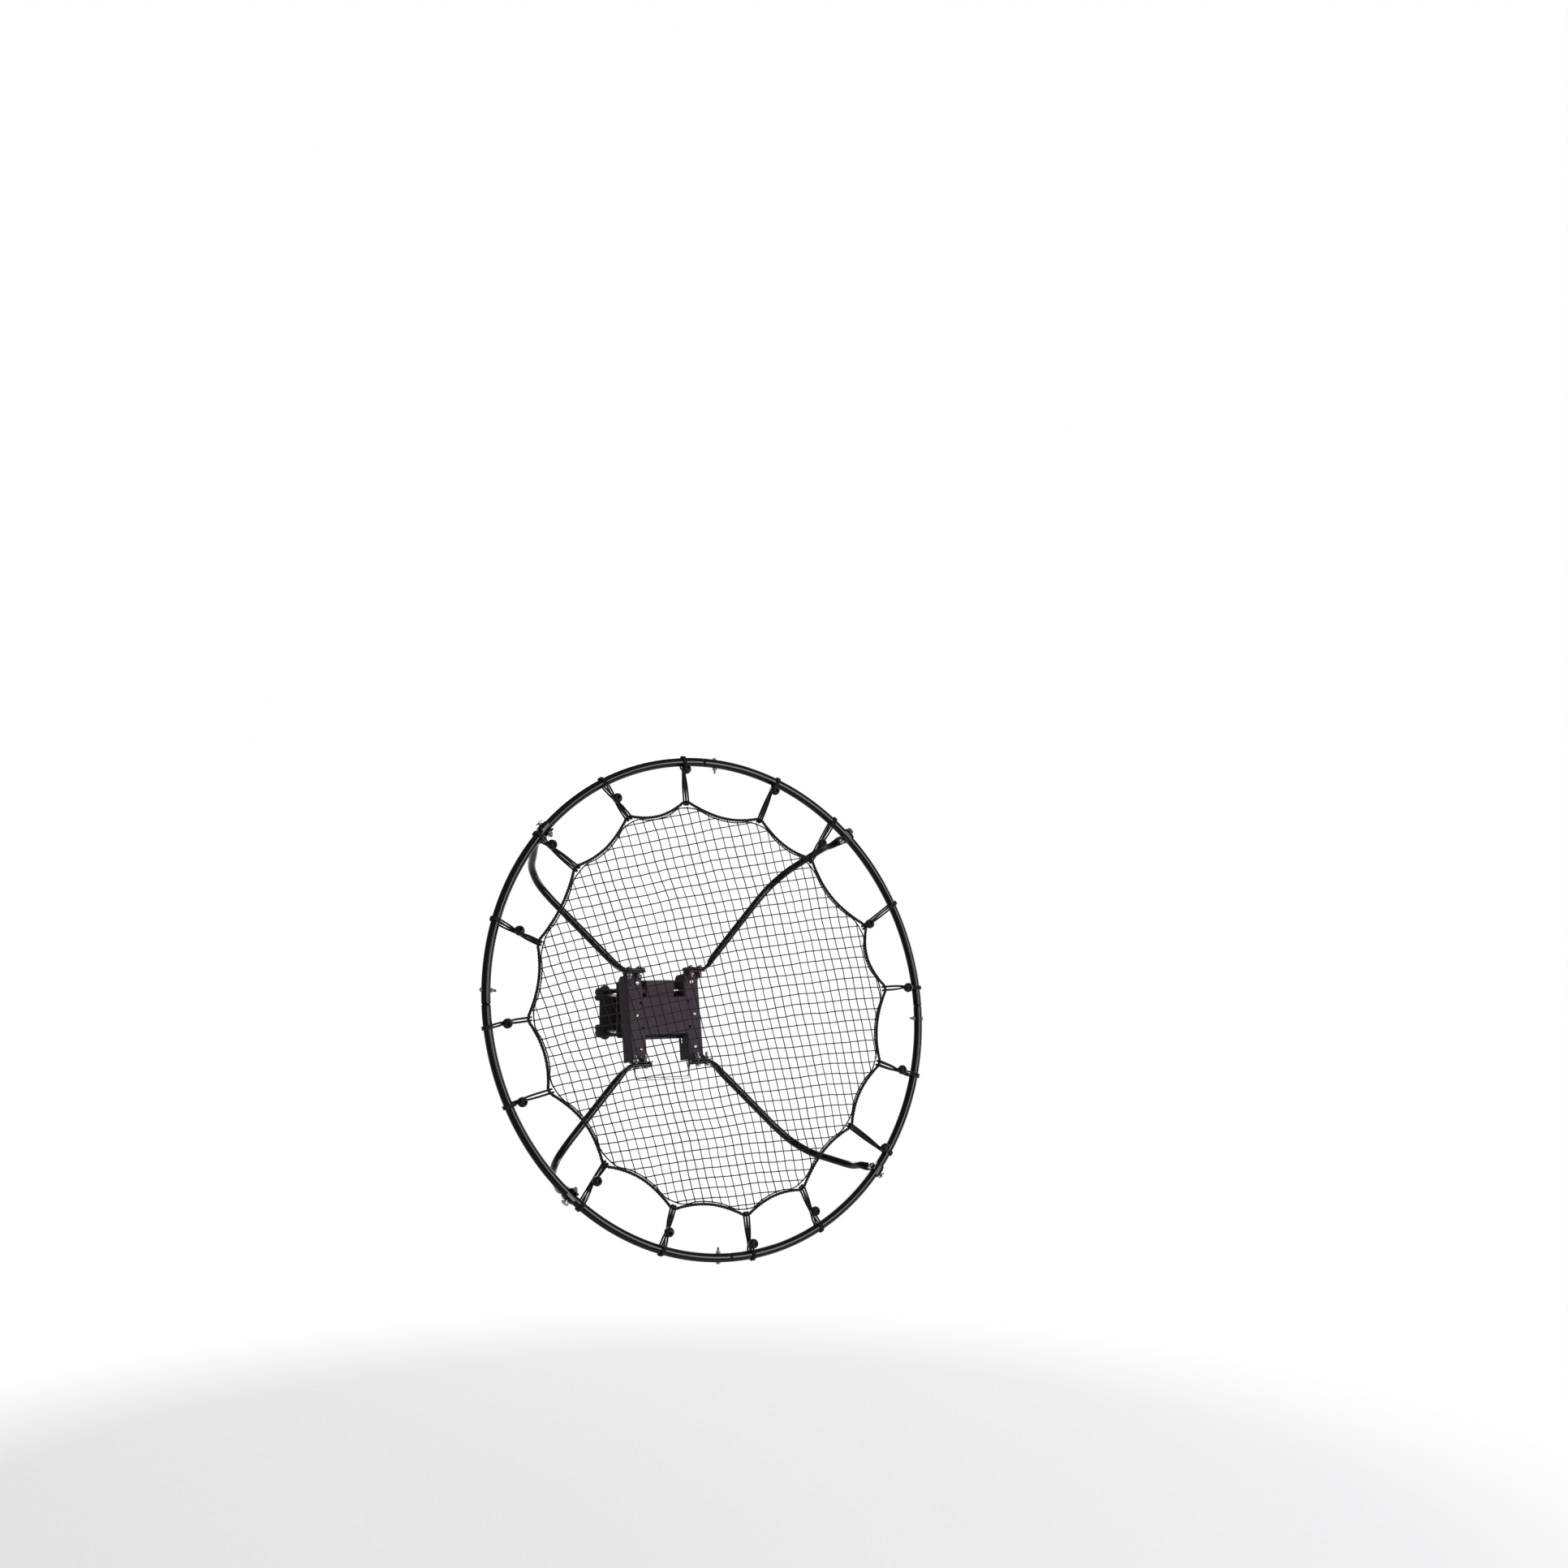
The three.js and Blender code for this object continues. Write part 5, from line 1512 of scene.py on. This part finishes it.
selvedge_stops = []
for i in range(16):
    for share in (0.12, 0.3, 0.5, 0.7, 0.88):
        selvedge_stops.append(rope_point(i, share, selvedge_inset))
selvedge_line = smooth_route(selvedge_stops, 5, joined=True)
outline_pairs = [(place.x, place.z) for place in selvedge_line]

def inside(place):
    x, z = place.x, place.z
    odd = False
    for (x0, z0), (x1, z1) in zip(outline_pairs, outline_pairs[1:] + outline_pairs[:1]):
        if (z0 > z) != (z1 > z) and x < x0 + (x1 - x0) * (z - z0) / (z1 - z0):
            odd = not odd
    return odd

def clipped_runs(places):
    """The stretches of a line that lie inside the selvedge, with their ends on it."""
    runs, run = [], []
    flags = [inside(place) for place in places]
    for (a, a_in), (b, b_in) in zip(zip(places, flags), zip(places[1:], flags[1:])):
        if a_in and not run:
            run = [a]
        if a_in != b_in:
            low, high = (a, b) if a_in else (b, a)
            for _ in range(10):
                middle = (low + high) / 2
                if inside(middle):
                    low = middle
                else:
                    high = middle
            edge_place = Vector((low.x, 0, low.z))
            if a_in:
                runs.append(run + [edge_place])
                run = []
            else:
                run = [edge_place, b] if b_in else []
        elif b_in:
            run.append(b)
    if len(run) > 1:
        runs.append(run)
    return runs

# %% Net strands and knots
reach = ceil(net_half_size / net_pitch)
halves = [n * net_pitch / 2 for n in range(-2 * reach, 2 * reach + 1)]
lines = []
for k in range(-reach, reach + 1):
    lines.append([lattice_point(far, k * net_pitch) for far in halves])
    lines.append([lattice_point(k * net_pitch, far) for far in halves])
runs = [run for line in lines for run in clipped_runs(line) if len(run) > 1]
crossings = [
    lattice_point(a * net_pitch, b * net_pitch)
    for a in range(-reach, reach + 1)
    for b in range(-reach, reach + 1)
]
crossings = [place for place in crossings if inside(place)]
joins = [end for run in runs for end in (run[0], run[-1]) if abs(end.y) < 1e-9]

def bead(form, place, radius, squash, lean):
    grown = bmesh.ops.create_icosphere(form, subdivisions=1, radius=radius)["verts"]
    turn = Matrix.Rotation(lean, 4, "Y") @ Matrix.Diagonal((1, 0.8, squash, 1))
    bmesh.ops.transform(form, matrix=Matrix.Translation(place) @ turn, verts=grown)

def add_beads(form, places, sizes, squashes):
    for place in places:
        radius = random.uniform(*sizes) * mm
        bead(form, place, radius, random.uniform(*squashes), random.uniform(0, pi))

netting = tube_form(runs, net_twine_diameter, resolution=0)
add_beads(netting, crossings, (2.1, 2.6), (0.85, 1.1))
add_beads(netting, joins, (2.2, 2.9), (1.0, 1.5))
print("net runs", len(runs), "crossings", len(crossings), "joins", len(joins), "faces", len(netting.faces))
selvedge_even, _ = even_route(selvedge_line, 6 * mm)
edge_cord = tube_form([selvedge_even], selvedge_diameter, joined=True, resolution=1)
add_piece(merge_forms([netting, edge_cord]), "netting", net_twine, ["net"], "net", sharp=radians(80))

# %% [markdown]
# ## Bungees
# Sixteen ball bungees: a loop of elastic cord goes round the hoop and round the rope, and hooks
# over its own ball, which sits on the front. The two strands are closed curves that lie side by
# side on the hoop, gather at the ball's neck and spread on the rope. The ball is turned once round
# from its section, with the hole where the knot is hidden.

# %% Balls
ball_radius = 12.5 * mm
neck_length = 15 * mm

def ball_form():
    """A ball round the z axis: a neck at -z where the cords enter, and a hole at +z."""
    neck = [(0.0, -15.8), (4.6, -15.6), (5.2, -14.8), (5.6, -13.0), (6.6, -11.2)]
    side = [(9.4, -8.4), (11.4, -5.0), (12.4, -1.4), (12.4, 1.8), (11.4, 5.2), (9.6, 8.0)]
    hole = [(7.4, 9.9), (5.6, 10.6), (4.9, 10.4), (4.6, 9.6), (4.5, 5.0), (2.6, 3.4), (0.0, 3.2)]
    return spun([(radius * mm, level * mm) for radius, level in neck + side + hole], 28, closed=False)

# %% [markdown]
# A loop's route is worked out from where it grips the hoop and the rope. It goes half round each
# and passes the ball's neck in front. Behind, it runs straight back where the ball sits far in,
# and is gathered at the neck where the ball sits near the hoop.

# %% Loop routes
cord_diameter = 4.7 * mm
hoop_wrap = hoop_tube / 2 + cord_diameter / 2 + 0.1 * mm
rope_wrap = rope_diameter / 2 + cord_diameter / 2 + 0.1 * mm

def loop_route(hoop_end, rope_end, neck, hoop_side, rope_side, hoop_shift, rope_shift, gathered):
    """A closed run round the hoop and the rope, past the ball's neck in front."""
    inward = (rope_end - hoop_end).normalized()

    def wrapped(centre, radius, angles, shift):
        ways = [inward * cos(radians(angle)) + y_way * sin(radians(angle)) for angle in angles]
        return [centre + way * radius + shift for way in ways]

    def past_neck(start, end, middle):
        share = (middle - start).dot(inward) / max((end - start).dot(inward), 1 * mm)
        shift = hoop_side * hoop_shift
        places = [(start.lerp(middle, 0.55) + shift * 0.9, share * 0.55), (middle + shift * 0.75, share)]
        places.append((middle.lerp(end, 0.45) + shift * 0.9, mix(share, 1, 0.45)))
        return [place for place, at in places if 0.12 < at < 0.88]

    at_hoop = wrapped(hoop_end, hoop_wrap, (90, 135, 180, 225, 270), hoop_side * hoop_shift)
    at_rope = wrapped(rope_end, rope_wrap, (-90, -45, 0, 45, 90), rope_side * rope_shift)
    front = past_neck(at_hoop[-1], at_rope[0], neck)
    if gathered:
        rear = past_neck(at_hoop[0], at_rope[-1], neck + y_way * cord_diameter)[::-1]
    else:
        rear = [at_rope[-1].lerp(at_hoop[0], share) for share in (0.3, 0.65)]
    return smooth_route([*at_hoop, *front, *at_rope, *rear], 5, joined=True)

# %% [markdown]
# Each ball leans a little its own way. It lies on the line between its loop's two ends, just far
# enough forward to clear the hoop and the rope.

# %% Bungees
random.seed(7)

def ball_depth(centre, ends, least):
    """How far in front the ball has to sit to clear the hoop and the rope."""
    depth = least
    for end, radius in ends:
        reach_out = radius + ball_radius + 0.5 * mm
        depth = max(depth, sqrt(max(reach_out**2 - (centre - end).length_squared, 0)))
    return depth

for i, (grip, _, ball_share, _, _) in enumerate(bungees):
    hoop_end = polar(hoop_radius, radians(grip))
    hoop_side = polar(1, radians(grip) + pi / 2)
    before, after = rope_point(i - 1, 0.965), rope_point(i, 0.035)
    rope_end = (before + after) / 2
    rope_side = (after - before).normalized()
    share = hoop_radius * (1 - ball_share) / (hoop_radius - rope_end.length)
    centre = hoop_end.lerp(rope_end, share)
    stops = ((hoop_end, hoop_tube / 2), (rope_end, rope_diameter / 2))
    centre.y = -ball_depth(centre, stops, mix(hoop_wrap, rope_wrap, share) + 3 * mm)
    lean = Vector((random.uniform(-0.35, 0.35), -1, random.uniform(-0.35, 0.35))).normalized()
    neck = centre - lean * neck_length
    spread = random.uniform(3.0, 5.5) * mm
    beside = cord_diameter * 0.52
    gathered = ball_share > 0.9
    cords = [
        loop_route(hoop_end, rope_end, neck, hoop_side, rope_side, side * beside, side * spread, gathered)
        for side in (1, -1)
    ]
    loop = tube_form(cords, cord_diameter, joined=True, resolution=2)
    ends = [hoop_end.lerp(rope_end, 0.2), hoop_end.lerp(rope_end, 0.8)]
    add_stretched(loop, f"bungee_loop_{i + 1}", elastic_sleeve, f"bungee_{i + 1}")
    place = hoop_axes @ aimed(centre, lean)
    add_stretched(ball_form(), f"bungee_ball_{i + 1}", ball_rubber, f"bungee_{i + 1}", place)
print("bungees", len(bungees))

# %% [markdown]
# ## Floor and light
# A plain pale floor lies below, and a room surrounds the object. Camera rays see the room at a
# strength of 1, which is white. Mirror rays see that same white behind the object and a dimmer
# room in front of it, which keeps bright metal from going flat, and the light that falls on the
# object is as dim as that room. One function serves both the world and the floor's glow.

# %% Room light
room_light = 0.22
front_level = 0.22
screen_way = Vector((0.5, 0.86, 0))

def room_level(tree, depth, nearest, farthest):
    """How bright the room is to each kind of ray, where depth runs from the front to the screen."""
    rays = tree.nodes.new("ShaderNodeLightPath")
    straight = maths(tree, "MAXIMUM", rays.outputs["Is Camera Ray"], rays.outputs["Is Transmission Ray"])
    mirrored_room = remap(tree, depth, nearest, farthest, front_level, 1.0)
    glossy = maths(tree, "MULTIPLY", rays.outputs["Is Glossy Ray"], mirrored_room)
    return maths(tree, "MAXIMUM", remap(tree, straight, 0.0, 1.0, room_light, 1.0), glossy), rays

def depth_of(tree):
    """How far a place, or a direction, lies towards the white screen behind the object."""
    place = tree.nodes.new("ShaderNodeTexCoord").outputs["Object"]
    depth = add_node(tree, "ShaderNodeVectorMath", operation="DOT_PRODUCT")
    feed(tree, depth.inputs[0], place)
    feed(tree, depth.inputs[1], screen_way)
    return depth.outputs["Value"], place

# %% [markdown]
# The floor is a plain pale disc. It fades into the white far away, so no horizon shows, and it
# keeps the object's shadow.

# %% Floor
floor_level = -1.40
floor_form = bmesh.new()
bmesh.ops.create_circle(floor_form, cap_ends=True, radius=14.0, segments=96)
bmesh.ops.translate(floor_form, vec=(0, 0, floor_level), verts=floor_form.verts)
floor_paint = bpy.data.materials.new("floor_paint")
floor_paint.use_nodes = True
tree = floor_paint.node_tree
shader = tree.nodes["Principled BSDF"]
shader.inputs["Base Color"].default_value = (0.8, 0.8, 0.8, 1)
shader.inputs["Roughness"].default_value = 0.9
shader.inputs["Specular IOR Level"].default_value = 0.0
depth, place = depth_of(tree)
level, rays = room_level(tree, depth, -1.5, 0.5)
far = add_node(tree, "ShaderNodeVectorMath", operation="LENGTH")
feed(tree, far.inputs[0], place)
fade = remap(tree, far.outputs["Value"], 1.4, 3.2)
fade = maths(tree, "MAXIMUM", fade, maths(tree, "MULTIPLY", rays.outputs["Is Camera Ray"], 0.6))
glow = tree.nodes.new("ShaderNodeEmission")
feed(tree, glow.inputs["Strength"], level)
blend_shader = tree.nodes.new("ShaderNodeMixShader")
feed(tree, blend_shader.inputs[0], fade)
tree.links.new(shader.outputs[0], blend_shader.inputs[1])
tree.links.new(glow.outputs[0], blend_shader.inputs[2])
tree.links.new(blend_shader.outputs[0], tree.nodes["Material Output"].inputs["Surface"])
floor = new_object("floor", mesh_of(floor_form, "floor"))
floor.data.materials.append(floor_paint)

# %% [markdown]
# The world is that room. A direction counts as a place here, so the same product says how far it
# points towards the white screen.

# %% World
world = bpy.data.worlds.new("white_room")
bpy.context.scene.world = world
world.use_nodes = True
tree = world.node_tree
backdrop = tree.nodes["Background"]
backdrop.inputs["Color"].default_value = (1, 1, 1, 1)
level, rays = room_level(tree, depth_of(tree)[0], 0.45, 0.95)
feed(tree, backdrop.inputs["Strength"], level)

# %% [markdown]
# Four soft boxes light the object. The first is large and stands in front, to the right of the
# camera. One strip edges the metal from the right, a warm one stands nearer the camera, and the
# last box fills the back.

# %% Lamps

def add_lamp(name, bearing, distance, height, wide, tall, radiance, colour=(1, 1, 1)):
    """A soft box that faces the object: its bearing is in degrees, from the front to the right."""
    lamp = bpy.data.lights.new(name, "AREA")
    lamp.shape = "RECTANGLE"
    lamp.size = wide
    lamp.size_y = tall
    lamp.energy = pi * wide * tall * radiance
    lamp.color = colour
    holder = new_object(name, lamp)
    place = Vector((distance * sin(radians(bearing)), -distance * cos(radians(bearing)), height))
    holder.location = place
    holder.rotation_euler = (Vector((0, -0.2, 0)) - place).to_track_quat("-Z", "Y").to_euler()
    holder.visible_camera = False
    print(name, "watts", round(lamp.energy))

add_lamp("key_softbox", 22, 6.0, 0.7, 2.4, 3.6, 9, (0.97, 0.90, 1.0))
add_lamp("right_strip", 92, 5.0, 0.6, 1.3, 2.6, 8, (0.96, 0.94, 1.0))
add_lamp("warm_strip", -8, 6.0, 1.5, 0.9, 2.2, 7, (1.0, 0.90, 0.80))
add_lamp("back_fill", 165, 5.0, 2.6, 3.0, 2.0, 6)

bpy.context.scene.view_settings.view_transform = "Standard"
